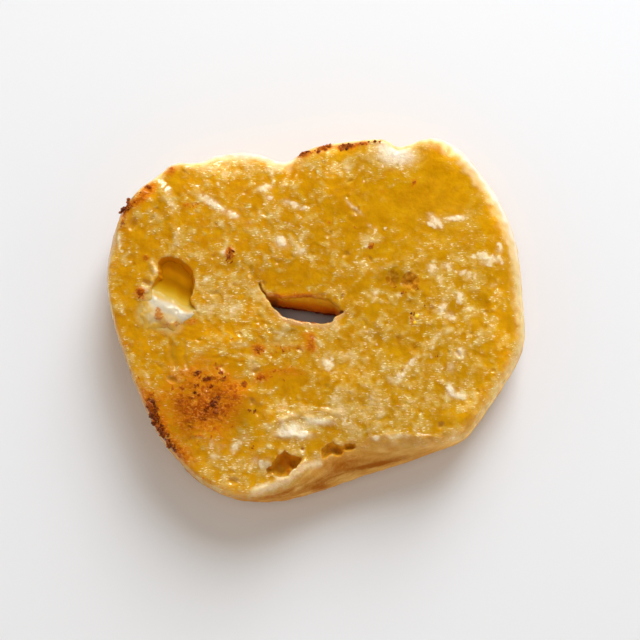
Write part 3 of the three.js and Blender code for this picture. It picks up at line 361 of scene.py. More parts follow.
# toasted crumbs that hang over the edge of the cut: as BITS
EDGEBITS = [
    (-40.5, -22.3, 0.6, 1.2, 0, 8, 0.35, 0.65, 0.5, 1), (-39.8, -25.7, 0.7, 2.2, 12, 7, 0.3, 0.55, 0.4, 1),
    (-38.0, -29.1, 0.7, 1.5, 25, 6, 0.25, 0.5, 0.5, 1), (-35.8, -32.2, 0.7, 1.2, 40, 5, 0.22, 0.42, 0.5, 0.9),
    (-47.4, 26.1, 0.7, 0.4, 20, 6, 0.35, 0.6, 0.7, 1), (-48.0, 25.6, 0.4, 0.2, 20, 2, 0.4, 0.55, 0.7, 0.9),
    (-46.4, 28.1, 0.7, 0.7, -50, 7, 0.25, 0.45, 0.5, 0.9), (1.8, 41.8, 2.2, 0.4, 16, 7, 0.2, 0.38, 0.3, 0.8),
    (7.5, 42.3, 2.0, 0.4, 4, 7, 0.2, 0.38, 0.3, 0.8), (-3.4, 40.2, 1.5, 0.4, 12, 7, 0.25, 0.42, 0.5, 0.95),
    (13.7, 43.3, 1.5, 0.2, 4, 5, 0.2, 0.32, 0.6, 1),
]
# thin butter round the lump
SMEAR = [
    (-41.6, 0.1, 2.7, 3.4, 0, 0.85), (-35.4, -3.4, 3.2, 2.2, 0, 0.85), (-29.3, 0.4, 2.0, 1.0, 0, 0.55),
    (-40.6, 4.1, 1.5, 1.5, 0, 0.45), (-38.1, -1.1, 3.4, 2.5, 0, 0.5), (-11.7, 3.8, 2.2, 2.2, 0, 0.4),
    (-9.7, -7.3, 2.9, 1.2, 0, 0.5), (-13.1, 0.4, 1.5, 1.5, 0, 0.2),
]
# tables end

# ------------------------------------------------------------------------------------------------
# Grids: a fine plan of the cut face, and a volume with twice its step.
FINE = 0.15
PNX, PNY = 720, 640
STEP = 2 * FINE
NX, NY, NZ = PNX // 2, PNY // 2, 75
X0, Y0, Z0 = -54.0, -48.0, -0.9
PX, PY = np.meshgrid(X0 + FINE * np.arange(PNX), Y0 + FINE * np.arange(PNY), indexing="ij")
gx, gy, gz = X0 + STEP * np.arange(NX), Y0 + STEP * np.arange(NY), Z0 + STEP * np.arange(NZ)
rng = np.random.default_rng(20)


def bell(d, wide):
    return np.exp(-((d / wide) ** 2))


def smooth(a, b, x):
    t = np.clip((x - a) / (b - a), 0, 1)
    return t * t * (3 - 2 * t)


def turn_between(a, b):
    return (a - b + 180.0) % 360.0 - 180.0


def noise2(seed, wave, stretch=(1.0, 1.0), turn=0.0, band=0.35):
    """Band-limited noise over the plan, mean 0 and deviation 1. wave is its main wavelength in mm."""
    f = np.fft.rfft2(np.random.default_rng(seed).standard_normal((PNX, PNY)))
    kx, ky = np.fft.fftfreq(PNX, FINE)[:, None], np.fft.rfftfreq(PNY, FINE)[None, :]
    c, s = math.cos(math.radians(turn)), math.sin(math.radians(turn))
    u, v = (kx * c + ky * s) * stretch[0], (-kx * s + ky * c) * stretch[1]
    k = np.sqrt(u * u + v * v) * wave
    w = np.exp(-0.5 * (np.log(np.maximum(k, 1e-6)) / band) ** 2)
    w[0, 0] = 0
    out = np.fft.irfft2(f * w, s=(PNX, PNY))
    return out / out.std()


def blur2(field, sigma):
    f = np.fft.rfft2(field)
    kx, ky = np.fft.fftfreq(PNX, FINE)[:, None], np.fft.rfftfreq(PNY, FINE)[None, :]
    return np.fft.irfft2(f * np.exp(-2 * (math.pi * sigma) ** 2 * (kx * kx + ky * ky)), s=(PNX, PNY))


KX3 = np.fft.fftfreq(NX, STEP)[:, None, None].astype(np.float32)
KY3 = np.fft.fftfreq(NY, STEP)[None, :, None].astype(np.float32)
KZ3 = np.fft.rfftfreq(NZ, STEP)[None, None, :].astype(np.float32)


def noise3(seed, wave, band=0.35, tall=1.0):
    """The same in the volume. tall under 1 gives long level features."""
    f = np.fft.rfftn(np.random.default_rng(seed).standard_normal((NX, NY, NZ), dtype=np.float32))
    k = np.sqrt(KX3 ** 2 + KY3 ** 2 + (KZ3 * tall) ** 2) * wave
    f *= np.exp(-0.5 * (np.log(np.maximum(k, 1e-6)) / band) ** 2)
    out = np.fft.irfftn(f, s=(NX, NY, NZ)).astype(np.float32)
    return out / out.std()


def smax(a, b, k):
    """Maximum of two fields with a rounded join about k wide."""
    h = np.clip(0.5 + 0.5 * (a - b) / k, 0, 1)
    return b + (a - b) * h + k * h * (1 - h)


# ------------------------------------------------------------------------------------------------
# Plan maps
def outline(deg):
    r = np.full_like(deg, ROUND)
    for times, by, at in WAVES:
        r = r + by * np.cos(np.radians(times * (deg - at)))
    for at, by, wide in LOBES:
        r = r + by * bell(turn_between(deg, at), wide)
    return r


def cut_inset(deg):
    r = np.full_like(deg, CUT_INSET)
    for at, by, wide in CUT_INSETS:
        r = r + by * bell(turn_between(deg, at), wide)
    return r


def cut_height(x, y):
    z = np.full_like(x, CUT_Z)
    for a, b, by, wide in CUT_SWELLS:
        z = z + by * bell(np.hypot(x - a, y - b), wide)
    return z


def blobs(table):
    """Sum of turned, stretched bells over the plan."""
    out = np.zeros((PNX, PNY))
    for a, b, l, w, turn, by in table:
        reach = 2.6 * max(l, w)
        i0, i1 = max(0, int((a - reach - X0) / FINE)), min(PNX, int((a + reach - X0) / FINE) + 1)
        j0, j1 = max(0, int((b - reach - Y0) / FINE)), min(PNY, int((b + reach - Y0) / FINE) + 1)
        x, y = PX[i0:i1, j0:j1] - a, PY[i0:i1, j0:j1] - b
        c, s = math.cos(math.radians(turn)), math.sin(math.radians(turn))
        d = ((x * c + y * s) / l) ** 2 + ((-x * s + y * c) / w) ** 2
        out[i0:i1, j0:j1] += by * np.exp(-d)
    return out


def scatter(clusters, seed):
    """Small rough lumps drawn into the plan in clusters: how high they rise in mm, and a shade for each."""
    r = np.random.default_rng(seed)
    rise, shade = np.zeros((PNX, PNY)), np.zeros((PNX, PNY))
    for x0, y0, l, w, turn, count, small, large, *tone in clusters:
        c, s = math.cos(math.radians(turn)), math.sin(math.radians(turn))
        for _ in range(int(count)):
            a, b = np.clip(r.normal(0, 0.55, 2), -1.2, 1.2)
            x, y = x0 + a * l * c - b * w * s, y0 + a * l * s + b * w * c
            size = small + (large - small) * r.random() ** 1.5
            slim, lean = r.uniform(0.55, 1.0), r.uniform(0, math.pi)
            t = r.uniform(*tone) if tone else r.random()
            reach = size + 0.4
            i0, i1 = max(0, int((x - reach - X0) / FINE)), min(PNX, int((x + reach - X0) / FINE) + 2)
            j0, j1 = max(0, int((y - reach - Y0) / FINE)), min(PNY, int((y + reach - Y0) / FINE) + 2)
            if i1 <= i0 or j1 <= j0:
                continue
            dx, dy = PX[i0:i1, j0:j1] + warp_x[i0:i1, j0:j1] - x, PY[i0:i1, j0:j1] + warp_y[i0:i1, j0:j1] - y
            u, v = (dx * math.cos(lean) + dy * math.sin(lean)) / size, (-dx * math.sin(lean) + dy * math.cos(lean)) / (size * slim)
            h = min(size, 0.45 + 0.3 * size) * np.clip(1 - u * u - v * v, 0, 1) ** 0.7
            more = h > rise[i0:i1, j0:j1]
            shade[i0:i1, j0:j1][more] = t
            rise[i0:i1, j0:j1][more] = h[more]
    return rise, shade


def line_distance(points):
    """Plan distance to a bent line."""
    best = np.full((PNX, PNY), 99.0)
    for (ax, ay), (bx, by) in zip(points, points[1:]):
        dx, dy = bx - ax, by - ay
        t = np.clip(((PX - ax) * dx + (PY - ay) * dy) / (dx * dx + dy * dy), 0, 1)
        best = np.minimum(best, np.hypot(PX - ax - t * dx, PY - ay - t * dy))
    return best


def outline_distance(points, x, y):
    """Plan distance to a closed outline, negative inside it."""
    best, inside = np.full(x.shape, 99.0), np.zeros(x.shape, bool)
    for (ax, ay), (bx_, by_) in zip(points, points[1:] + points[:1]):
        dx, dy = bx_ - ax, by_ - ay
        t = np.clip(((x - ax) * dx + (y - ay) * dy) / (dx * dx + dy * dy), 0, 1)
        best = np.minimum(best, np.hypot(x - ax - t * dx, y - ay - t * dy))
        crossing = (ay > y) != (by_ > y)
        inside ^= crossing & (x < ax + (y - ay) * dx / (dy if dy else 1e-9))
    return np.where(inside, -best, best)


DEG = np.degrees(np.arctan2(PY - HOLE[1], PX - HOLE[0])) % 360
RAD = np.hypot(PX - HOLE[0], PY - HOLE[1])
WIDE = outline(DEG)
INSET = cut_inset(DEG)
EDGE = WIDE - INSET - RAD  # distance in from the edge of the cut, positive on the cut face
FLATCUT = cut_height(PX, PY)

soak = 0.42 + blobs(SOAK)
pale = blobs(PALE)
toast = blobs(TOAST)
burn = blobs(BURN)
white = blobs(BUTTERWHITE)
light = blobs(LIGHT)
lobe = smooth(8, 24, PX) * smooth(6, 22, PY)  # the soft, soaked upper right
skin = blobs([(-21.5, -24.5, 7.0, 8.0, 20, 1.0)])  # a smooth stretched patch
sunny = np.maximum(bell(turn_between(DEG, 40), 45), bell(turn_between(DEG, 100), 22))
# how far past the edge of the cut its crumb still shows: not at the front, where the crust is torn up to the cut
spill = 1.5 * (1 - bell(turn_between(DEG, 285), 42)) + 1.1 * bell(turn_between(DEG, 332), 15)
# painted light on the thin pale edge that light shines through, by direction
glow = np.interp(DEG, *zip(*[
    (0, 0.70), (12, 0.80), (22, 1.0), (52, 1.0), (62, 0.60), (90, 0.65), (100, 1.0), (120, 0.95), (132, 0.60), (150, 0.35), (175, 0.15), (195, 0.05), (235, 0.0), (285, 0.0), (305, 0.05),
    (325, 0.10), (345, 0.35), (360, 0.70)]))
out = WIDE - RAD  # distance in from the silhouette
# the lip of torn crumb at the front, shallow hollows (x, y, half length, half width, turn, depth), drops of clear butter
LIP = [(-14.8, -43.5), (-11.5, -42.4), (-10.3, -42.0), (-6.9, -40.5), (-4.6, -38.8), (-2.4, -37.2), (0.6, -36.6)]
DENTS = [
    (27.9, 0.7, 0.8, 1.8, 0, 0.6), (20.0, -6.3, 0.8, 1.2, 0, 0.4),
    (24.2, -8.4, 1.0, 1.1, 0, 0.4), (22.0, -8.2, 4.0, 2.4, 0, 0.35), (29.8, -10.3, 0.35, 0.8, 0, 0.3),
]
PITS = [(18.9, 8.9, 19.4, 1.7, 2.2, 0.9), (23.3, 8.1, 19.3, 2.2, 2.2, 1.3)]
DROPS = [(24.8, -0.6, 0.50), (24.3, -2.2, 0.45)]

warp_x, warp_y = 0.14 * noise2(1, 1.1), 0.14 * noise2(2, 1.1)
fleck_rise, fleck_shade = scatter(FLECKS, 32)
fleck_rise = blur2(fleck_rise, 0.20)
bit_rise, bit_shade = scatter(BITS, 31)
grain = noise2(3, 1.25, band=0.40)
mid = noise2(4, 3.6, band=0.40)
slow = noise2(5, 9.0)
net_a, net_b = noise2(6, 3.6, band=0.45), noise2(7, 1.9, band=0.45)
knife = noise2(8, 1.5, stretch=(4.5, 1.0), turn=-4, band=0.5)
n_open = noise2(9, 6.0)
strand_a = np.exp(-((net_a / 0.32) ** 2)) * smooth(-0.8, 0.8, noise2(10, 5.0))
strand_b = np.exp(-((net_b / 0.40) ** 2)) * smooth(-0.8, 0.8, noise2(11, 4.0))
# dry: below 0 pools of butter, round 0.5 soaked crumb, above 1 cream clumps of crumb that stand up
dry = 0.14 + 0.95 * pale - 1.15 * (soak - 0.42)
unrest = (0.55 + 0.45 * smooth(1.1, 0.3, dry) * smooth(-0.9, 0.0, dry)) * (1 - 0.5 * lobe)
dry += unrest * (0.24 * noise2(12, 3.4, band=0.5) + 0.06 * noise2(13, 1.7, band=0.45) + 0.24 * noise2(14, 8.0) + 0.06 * (strand_a + strand_b))
selvage = smooth(3.8, 0.6, EDGE + 0.5 * mid) * bell(turn_between(DEG, 292), 26)  # smooth crumb along the front edge
dry += 0.30 * selvage
dents = blobs(DENTS)
torn = bell(line_distance(LIP), 1.15) * smooth(-1.6, 0.6, mid + 0.4 * grain + 1.2)
streaks = blobs([(-25.0, -5.5, 10.0, 4.5, -4, 1.0), (-14.0, -3.0, 8.0, 3.0, -4, 0.7)])
rough = np.clip(1 - 0.75 * lobe - 0.75 * skin + 0.45 * blobs([(-28.0, -20.0, 9.0, 8.0, 0, 1.0)]) - 0.6 * selvage, 0.15, 1.6)
relief = rough * (0.03 * strand_a + 0.03 * strand_b) + 0.05 * streaks * knife
relief += rough * (0.15 * smooth(0.0, 1.25, dry) + 0.020 * grain * smooth(0.0, 0.9, dry))
height = FLATCUT - 0.10 + 0.09 * slow + 0.02 * mid * rough + relief
for points, wide, by in LINES:
    height += by * np.exp(-((line_distance(points) / wide) ** 2))
height += 0.10 * smooth(0.25, 0.8, white) + 0.22 * fleck_rise + 0.45 * bit_rise + 0.22 * torn - dents
for x, y, wide in DROPS:
    height += 0.35 * bell(np.hypot(PX - x, PY - y), wide)
EVEN = blur2(height, 1.6)
tick("plan")

# ------------------------------------------------------------------------------------------------
# The bread as a field in the volume: negative inside.
n_wall = noise3(21, 2.4, band=0.5)
n_skin = noise3(22, 5.0, band=0.45, tall=0.45)
n_fine = noise3(23, 1.3, band=0.4)
H, R, W, I, E = (a[::2, ::2] for a in (height, RAD, WIDE, INSET, EDGE))
X, Y = PX[::2, ::2], PY[::2, ::2]
field = np.empty((NX, NY, NZ), np.float32)
top_z = H - 0.6
sin_a, cos_a = math.sin(math.radians(UPPER_ARC)), math.cos(math.radians(UPPER_ARC))
c, s = math.cos(math.radians(DIMPLE[2])), math.sin(math.radians(DIMPLE[2]))
du = ((X - DIMPLE[0]) * c + (Y - DIMPLE[1]) * s) / DIMPLE[4]
dv = (-(X - DIMPLE[0]) * s + (Y - DIMPLE[1]) * c) / DIMPLE[5]
base = DIMPLE[3] * np.maximum(0, 1 - du * du - dv * dv) ** 1.5
for k, z in enumerate(gz):
    if z < BULGE_Z:
        q = (1 - max(z, 0.0) / BULGE_Z) ** (1 / LOWER_ROUND)
        r_side = W - BASE_INSET + BASE_INSET * math.sqrt(max(0.0, 1 - q * q)) ** LOWER_ROUND
    else:
        sn = np.clip((z - BULGE_Z) / np.maximum(top_z - BULGE_Z, 1.0) * sin_a, 0, 0.999)
        r_side = W - I * (1 - np.sqrt(1 - sn * sn)) / (1 - cos_a)
    calm = float(smooth(0.0, 2.5, z))
    side = R - r_side + calm * (0.065 * n_skin[:, :, k] + 0.012 * n_fine[:, :, k])
    f = smax(side, z - H, 0.9)
    field[:, :, k] = np.maximum(f, base - z)
tick("body")


def window(at, reach):
    lo = [max(0, int((at[a] - reach - (X0, Y0, Z0)[a]) / STEP)) for a in range(3)]
    hi = [min((NX, NY, NZ)[a], int((at[a] + reach - (X0, Y0, Z0)[a]) / STEP) + 2) for a in range(3)]
    return tuple(slice(a, b) for a, b in zip(lo, hi))


def ball_field(at, half, turn, w):
    c, s = math.cos(math.radians(turn)), math.sin(math.radians(turn))
    x, y, z = gx[w[0]][:, None, None] - at[0], gy[w[1]][None, :, None] - at[1], gz[w[2]][None, None, :] - at[2]
    u, v, t = (x * c + y * s) / half[0], (-x * s + y * c) / half[1], z / half[2]
    return (np.sqrt(u * u + v * v + t * t) - 1) * min(half)


def carve(at, half, turn=0.0, rough=0.0, k=0.5):
    """Takes a stretched ball out of the bread."""
    w = window(at, max(half) + 1.5)
    if any(a.stop <= a.start for a in w):
        return
    d = ball_field(at, half, turn, w)
    if rough:
        d = d + rough * n_wall[w]
    field[w] = smax(field[w], -d, k)


def add(at, half, turn=0.0, rough=0.0, k=0.5):
    """Puts a stretched ball on the bread."""
    w = window(at, max(half) + 1.5)
    d = ball_field(at, half, turn, w)
    if rough:
        d = d + rough * n_wall[w]
    field[w] = -smax(-field[w], -d, k)


# the squeezed hole
NEAR = [
    (-13.2, 5.0), (-11.7, 3.8), (-10.8, 2.0), (-9.3, 0.7), (-7.8, -0.6), (-6.0, -1.2), (-3.3, -1.6), (-0.7, -2.0),
    (1.6, -2.3), (3.6, -2.2), (4.2, -1.6), (4.7, -0.7), (6.7, 0.4), (8.3, 1.6),
]
FAR = [
    (-13.2, 3.9), (-11.8, 4.5), (-10.5, 4.7), (-8.3, 3.8), (-6.5, 4.2), (-4.2, 4.7), (-2.9, 4.9), (-0.7, 5.2),
    (1.1, 4.7), (3.4, 3.8), (5.1, 2.0), (6.7, 0.4), (8.3, -1.0),
]
FAR_FOOT = [
    (-13.2, 3.5), (-11.4, 4.0), (-9.0, 3.6), (-7.7, 3.4), (-5.3, 3.0), (-3.0, 2.7), (-0.7, 2.3), (2.3, 1.8), (4.8, 1.6), (8.3, -1.6),
]
near, far, foot = (np.interp(gx, *zip(*line)) for line in (NEAR, FAR, FAR_FOOT))
for k, z in enumerate(gz):
    down = min(1.0, max(0.0, (CUT_Z - z) / 14.5))
    b, a = far + (foot - far) * (1 - (1 - down) ** 4), near - 0.6 * down
    lip = 0.9 * max(0.0, 1 - (CUT_Z - z) / 1.6) ** 2
    slit = smax(Y - b[:, None] - lip, a[:, None] - Y - 0.3 * lip, 0.3) * 0.9 + 0.08 * n_wall[:, :, k]
    field[:, :, k] = smax(field[:, :, k], -slit, 0.4)

# air pockets that the cut opened: outline in plan, depth, how far in the wall comes, rounding
POCKETS = [
    ([
        (-40.3, 6.6), (-39.7, 8.1), (-38.7, 9.5), (-38.8, 11.3), (-39.0, 12.8), (-38.1, 13.8), (-36.8, 14.4), (-35.1, 14.2),
        (-33.6, 13.6), (-32.4, 12.9), (-31.4, 12.0), (-30.5, 10.8), (-30.0, 9.5), (-29.7, 7.6), (-30.2, 5.7), (-30.7, 3.5),
        (-29.9, 1.6), (-29.1, 0.9), (-31.3, 0.1), (-33.0, 0.6), (-34.5, 1.8), (-36.7, 2.6), (-38.9, 3.3), (-40.1, 4.3), (-40.4, 5.6),
    ], 4.6, 1.5, 0.8),
    ([
        (-12.2, -39.4), (-11.4, -38.0), (-10.5, -36.3), (-9.0, -34.8), (-7.5, -33.8), (-6.6, -34.1), (-5.8, -34.5), (-4.3, -34.8),
        (-3.4, -35.7), (-4.0, -36.8), (-5.2, -37.7), (-6.3, -39.0), (-7.8, -39.9), (-8.7, -40.3), (-9.5, -39.8), (-10.4, -39.4),
        (-11.6, -39.8),
    ], 4.4, 1.7, 0.5),
    ([
        (1.2, -34.2), (1.6, -33.2), (2.7, -32.2), (4.3, -31.6), (5.5, -31.9), (7.0, -32.2), (8.6, -31.9), (9.9, -32.4), (9.9, -33.1),
        (8.9, -33.4), (7.6, -33.5), (6.5, -34.6), (5.1, -34.9), (3.0, -34.9), (1.6, -35.0),
    ], 2.7, 1.3, 0.4),
]
BUTTER_POCKET = POCKETS[0][0]  # the largest one, which holds the butter
pocket_ds = []
for points, deep, run, k_join in POCKETS:
    d = outline_distance(points, PX, PY) + (0.10 * mid + 0.05 * grain) * (1 if deep > 4.5 else 1.6)
    floor_z = EVEN - 0.2 - deep * smooth(0.2, -run, d) ** 0.5 + 0.25 * mid
    pocket_ds.append(d)
    for k, z in enumerate(gz):
        if z > 11:
            hollow = smax(d[::2, ::2] * 0.8, (floor_z[::2, ::2] - z) * 0.7, k_join)
            field[:, :, k] = smax(field[:, :, k], -hollow, 0.45 if deep > 4.5 else 0.3)
carve((-3.2, -33.1, 18.3), (0.55, 0.45, 1.2), 0, 0.0, 0.3)
for x, y, z, a, b, c in PITS:
    carve((x, y, z), (a, b, c), 0, 0.16, 0.3)


def plan_at(f, x, y):
    """The plan map f at points, between its nodes."""
    u, v = np.clip((np.asarray(x) - X0) / FINE, 0, PNX - 1.001), np.clip((np.asarray(y) - Y0) / FINE, 0, PNY - 1.001)
    i, j = u.astype(int), v.astype(int)
    a, b = u - i, v - j
    return (f[i, j] * (1 - a) * (1 - b) + f[i + 1, j] * a * (1 - b) + f[i, j + 1] * (1 - a) * b + f[i + 1, j + 1] * a * b)


# small bubbles of the crumb
bubbles = 0
for count, lo, hi, sink in ((520, 0.35, 0.6, 0.0), (60, 0.6, 1.0, 0.0), (6, 1.0, 1.5, 0.0)):
    xs, ys, rs = rng.uniform(-52, 52, count), rng.uniform(-46, 46, count), rng.uniform(lo, hi, count)
    ok = plan_at(n_open, xs, ys) + rng.uniform(-1.2, 1.2, count) > -0.6
    ok &= (plan_at(EDGE, xs, ys) > 0.6 + rs) & (rng.random(count) < plan_at(rough, xs, ys))
    for x, y, r, t in zip(xs[ok], ys[ok], rs[ok], rng.uniform(0, 180, ok.sum())):
        z = float(plan_at(height, x, y)) + r * rng.uniform(-sink, 0.6)
        carve((x, y, z), (r * rng.uniform(0.9, 1.6), r * rng.uniform(0.7, 1.0), r * rng.uniform(0.5, 0.9)), t, 0.0, 0.22)
        bubbles += 1
tick(f"{bubbles} bubbles")

cutface = smooth(-0.2, 0.8, E)[:, :, None] * smooth(8.0, 13.0, gz)[None, None, :]
field += (n_fine * 0.02 * cutface).astype(np.float32)


# ------------------------------------------------------------------------------------------------
def surface_nets(f, origin, step):
    """Closed mesh of four-cornered faces round the inside of f, where it is negative."""
    s = f < 0
    nx, ny, nz = f.shape
    cells = np.zeros((nx - 1, ny - 1, nz - 1), np.uint8)
    for dx in (0, 1):
        for dy in (0, 1):
            for dz in (0, 1):
                cells += s[dx : nx - 1 + dx, dy : ny - 1 + dy, dz : nz - 1 + dz]
    mixed = (cells > 0) & (cells < 8)
    ci, cj, ck = np.nonzero(mixed)
    index = np.full(mixed.shape, -1, np.int32)
    index[ci, cj, ck] = np.arange(len(ci))
    total, count = np.zeros((len(ci), 3)), np.zeros(len(ci))
    for p in [(a, b, c) for a in (0, 1) for b in (0, 1) for c in (0, 1)]:
        for ax in range(3):
            if p[ax]:
                continue
            q = list(p)
            q[ax] = 1
            fa, fb = f[ci + p[0], cj + p[1], ck + p[2]], f[ci + q[0], cj + q[1], ck + q[2]]
            m = np.nonzero((fa < 0) != (fb < 0))[0]
            pos = np.tile(np.array(p, float), (len(m), 1))
            pos[:, ax] = fa[m] / (fa[m] - fb[m])
            total[m] += pos
            count[m] += 1
    verts = (total / count[:, None] + np.stack([ci, cj, ck], 1)) * step + np.array(origin)
    faces = []
    for ax in range(3):
        a, b = [slice(None)] * 3, [slice(None)] * 3
        a[ax], b[ax] = slice(0, -1), slice(1, None)
        sa, sb = s[tuple(a)], s[tuple(b)]
        idx = np.nonzero(sa != sb)
        o1, o2 = [i for i in range(3) if i != ax]
        ok = (idx[o1] > 0) & (idx[o2] > 0) & (idx[o1] < f.shape[o1] - 1) & (idx[o2] < f.shape[o2] - 1)
        idx = [v[ok] for v in idx]
        inside = sa[tuple(idx)]

        def cell(d1, d2):
            q = [v for v in idx]
            q[o1], q[o2] = q[o1] - 1 + d1, q[o2] - 1 + d2
            return index[q[0], q[1], q[2]]

        quad = np.stack([cell(0, 0), cell(1, 0), cell(1, 1), cell(0, 1)], 1)
        flip = inside if ax != 1 else ~inside
        quad[~flip] = quad[~flip][:, ::-1]
        faces.append(quad)
    return verts, np.concatenate(faces)


def mesh_object(name, verts, faces):
    """A smooth-shaded mesh object from points in mm and equal-sized faces."""
    me = bpy.data.meshes.new(name)
    me.vertices.add(len(verts))
    me.vertices.foreach_set("co", (np.asarray(verts) * MM).astype(np.float32).ravel())
    n = faces.shape[1]
    me.loops.add(faces.size)
    me.loops.foreach_set("vertex_index", faces.astype(np.int32).ravel())
    me.polygons.add(len(faces))
    me.polygons.foreach_set("loop_start", np.arange(0, faces.size, n, dtype=np.int32))
    me.update(calc_edges=True)
    me.validate()
    me.polygons.foreach_set("use_smooth", np.ones(len(me.polygons), bool))
    ob = bpy.data.objects.new(name, me)
    bpy.context.scene.collection.objects.link(ob)
    return ob


def thin_out(ob, triangles, keep=None):
    """Collapses the mesh to about that many triangles, the flattest parts first. keep: points left alone."""
    now = sum(len(p.vertices) - 2 for p in ob.data.polygons)
    if now <= triangles:
        return
    m = ob.modifiers.new("thin", "DECIMATE")
    if keep is not None:
        group = ob.vertex_groups.new(name="thin")
        group.add(np.nonzero(~keep)[0].tolist(), 1.0, "REPLACE")
        m.vertex_group = group.name
    m.ratio = triangles / now
    m.use_collapse_triangulate = True
    dg = bpy.context.evaluated_depsgraph_get()
    new = bpy.data.meshes.new_from_object(ob.evaluated_get(dg))
    ob.modifiers.clear()
    old, ob.data = ob.data, new
    bpy.data.meshes.remove(old)
    new.name = ob.name
    ob.vertex_groups.clear()
    new.polygons.foreach_set("use_smooth", np.ones(len(new.polygons), bool))


def points_of(ob):
    co = np.empty(len(ob.data.vertices) * 3, np.float32)
    ob.data.vertices.foreach_get("co", co)
    return co.reshape(-1, 3).astype(float) / MM


def mask(ob, name, values):
    a = ob.data.attributes.get(name) or ob.data.attributes.new(name, "FLOAT", "POINT")
    a.data.foreach_set("value", np.asarray(values, np.float32))


V, F = surface_nets(field, (X0, Y0, Z0), STEP)
tick(f"surface {len(F)} faces")
bread = mesh_object("bagel_bread", V, F)


def top_zone(p):
    return (p[:, 2] > plan_at(EVEN, p[:, 0], p[:, 1]) - 1.0) & (plan_at(EDGE, p[:, 0], p[:, 1]) > 0.2)


def faces_inside(ob, zone):
    t = sum(1 for p in ob.data.polygons if zone[p.vertices[0]]) / len(ob.data.polygons)
    return t * sum(len(p.vertices) - 2 for p in ob.data.polygons)


zone = top_zone(V)
fine_faces = faces_inside(bread, zone)
thin_out(bread, fine_faces + 58000, zone)
tick(f"{fine_faces:.0f} on the cut, {len(bread.data.polygons)} in all")
thin_out(bread, 197000, ~top_zone(points_of(bread)))
tick(f"thinned to {len(bread.data.polygons)} faces")

# ------------------------------------------------------------------------------------------------
# Masks on the bread


def volume_at(f, p):
    q = [np.clip((p[:, a] - (X0, Y0, Z0)[a]) / STEP, 0, (NX, NY, NZ)[a] - 1.001) for a in range(3)]
    i = [v.astype(int) for v in q]
    t = [a - b for a, b in zip(q, i)]
    out = 0
    for a in (0, 1):
        for b in (0, 1):
            for c in (0, 1):
                w = (t[0] if a else 1 - t[0]) * (t[1] if b else 1 - t[1]) * (t[2] if c else 1 - t[2])
                out = out + w * f[i[0] + a, i[1] + b, i[2] + c]
    return out


P = points_of(bread)
solid = np.fft.rfftn(np.clip(0.5 - field / STEP, 0, 1).astype(np.float32))
K2 = KX3 ** 2 + KY3 ** 2 + KZ3 ** 2
filled = {}
for name, sigma in (("near", 0.42), ("far", 1.3)):
    g = np.fft.irfftn(solid * np.exp(-2 * (math.pi * sigma) ** 2 * K2), s=(NX, NY, NZ)).astype(np.float32)
    filled[name] = volume_at(g, P)
del solid, K2
tick("convexity")

px, py, pz = P[:, 0], P[:, 1], P[:, 2]
facing = np.empty(len(P) * 3, np.float32)
bread.data.vertex_normals.foreach_get("vector", facing)
upward = smooth(-0.02, 0.22, facing.reshape(-1, 3)[:, 2])
edge_v = plan_at(EDGE, px, py)
depth_v = plan_at(EVEN, px, py) - pz
cave = np.zeros(len(P))
den, *tears = (smooth(0.35, -0.1, plan_at(d, px, py)) * smooth(0.3, 1.2, depth_v) * smooth(9.5, 11.5, pz) for d in pocket_ds)
for d in tears:
    cave = np.maximum(cave, d)
cave = np.maximum(cave, bell(np.hypot(px + 3.2, py + 33.1), 0.7) * smooth(0.2, 0.8, depth_v))
throat = smooth(9.5, 8.0, np.hypot(px - HOLE[0], (py - HOLE[1]) * 1.6)) * smooth(0.4, 1.6, depth_v) * smooth(1.0, 4.0, pz)
beyond = py - np.interp(px, *zip(*NEAR))
near_wall = throat * smooth(1.0, 0.2, beyond)
near_wall = np.maximum(near_wall, smooth(-0.9, -0.2, beyond) * smooth(1.0, 0.4, beyond) * smooth(0.10, 0.45, depth_v) * smooth(9.5, 8.0, np.hypot(px - HOLE[0], (py - HOLE[1]) * 1.6)))
throat *= smooth(0.2, 1.0, beyond)
brink = bell(beyond + 0.7, 0.9) * smooth(9.8, 8.5, np.hypot(px - HOLE[0], (py - HOLE[1]) * 1.6)) * smooth(1.0, 0.3, depth_v) * (1 - near_wall)
frayed = edge_v + plan_at(spill, px, py) + 0.35 * plan_at(mid, px, py) + 0.15 * plan_at(grain, px, py)
crust = np.maximum(smooth(0.9, -0.9, frayed + 0.3), smooth(13.0, 11.0, pz) * (1 - cave) * (1 - den) * (1 - throat))
crust *= (1 - cave) * (1 - den)
mask(bread, "soak", plan_at(soak, px, py))
mask(bread, "dry", plan_at(dry, px, py))
mask(bread, "toast", plan_at(toast, px, py) * smooth(3.0, 1.0, depth_v))
mask(bread, "burn", plan_at(burn, px, py) * smooth(2.0, 0.8, depth_v))
mask(bread, "white", plan_at(white, px, py) * smooth(0.9, 0.3, depth_v) * (1 - crust))
mask(bread, "lobe", plan_at(lobe, px, py))
out_v, glow_v = plan_at(out, px, py), plan_at(glow, px, py) * smooth(9.0, 14.0, pz) * upward * (1 - np.clip(1.6 * plan_at(toast, px, py), 0, 1))
# painted light: rim and halo lighten the thin edge by direction, most on the lit sides
mask(bread, "rim", smooth(3.4 + 1.6 * glow_v, 0.8, out_v + 0.35 * plan_at(mid, px, py)) * glow_v)
mask(bread, "halo", smooth(3.2, 0.3, out_v + 0.3 * plan_at(mid, px, py)) * glow_v ** 1.4)
sunlit = np.maximum(bell(turn_between(DEG, 37), 22), bell(turn_between(DEG, 110), 17))
mask(bread, "sunlit", plan_at(sunlit, px, py))
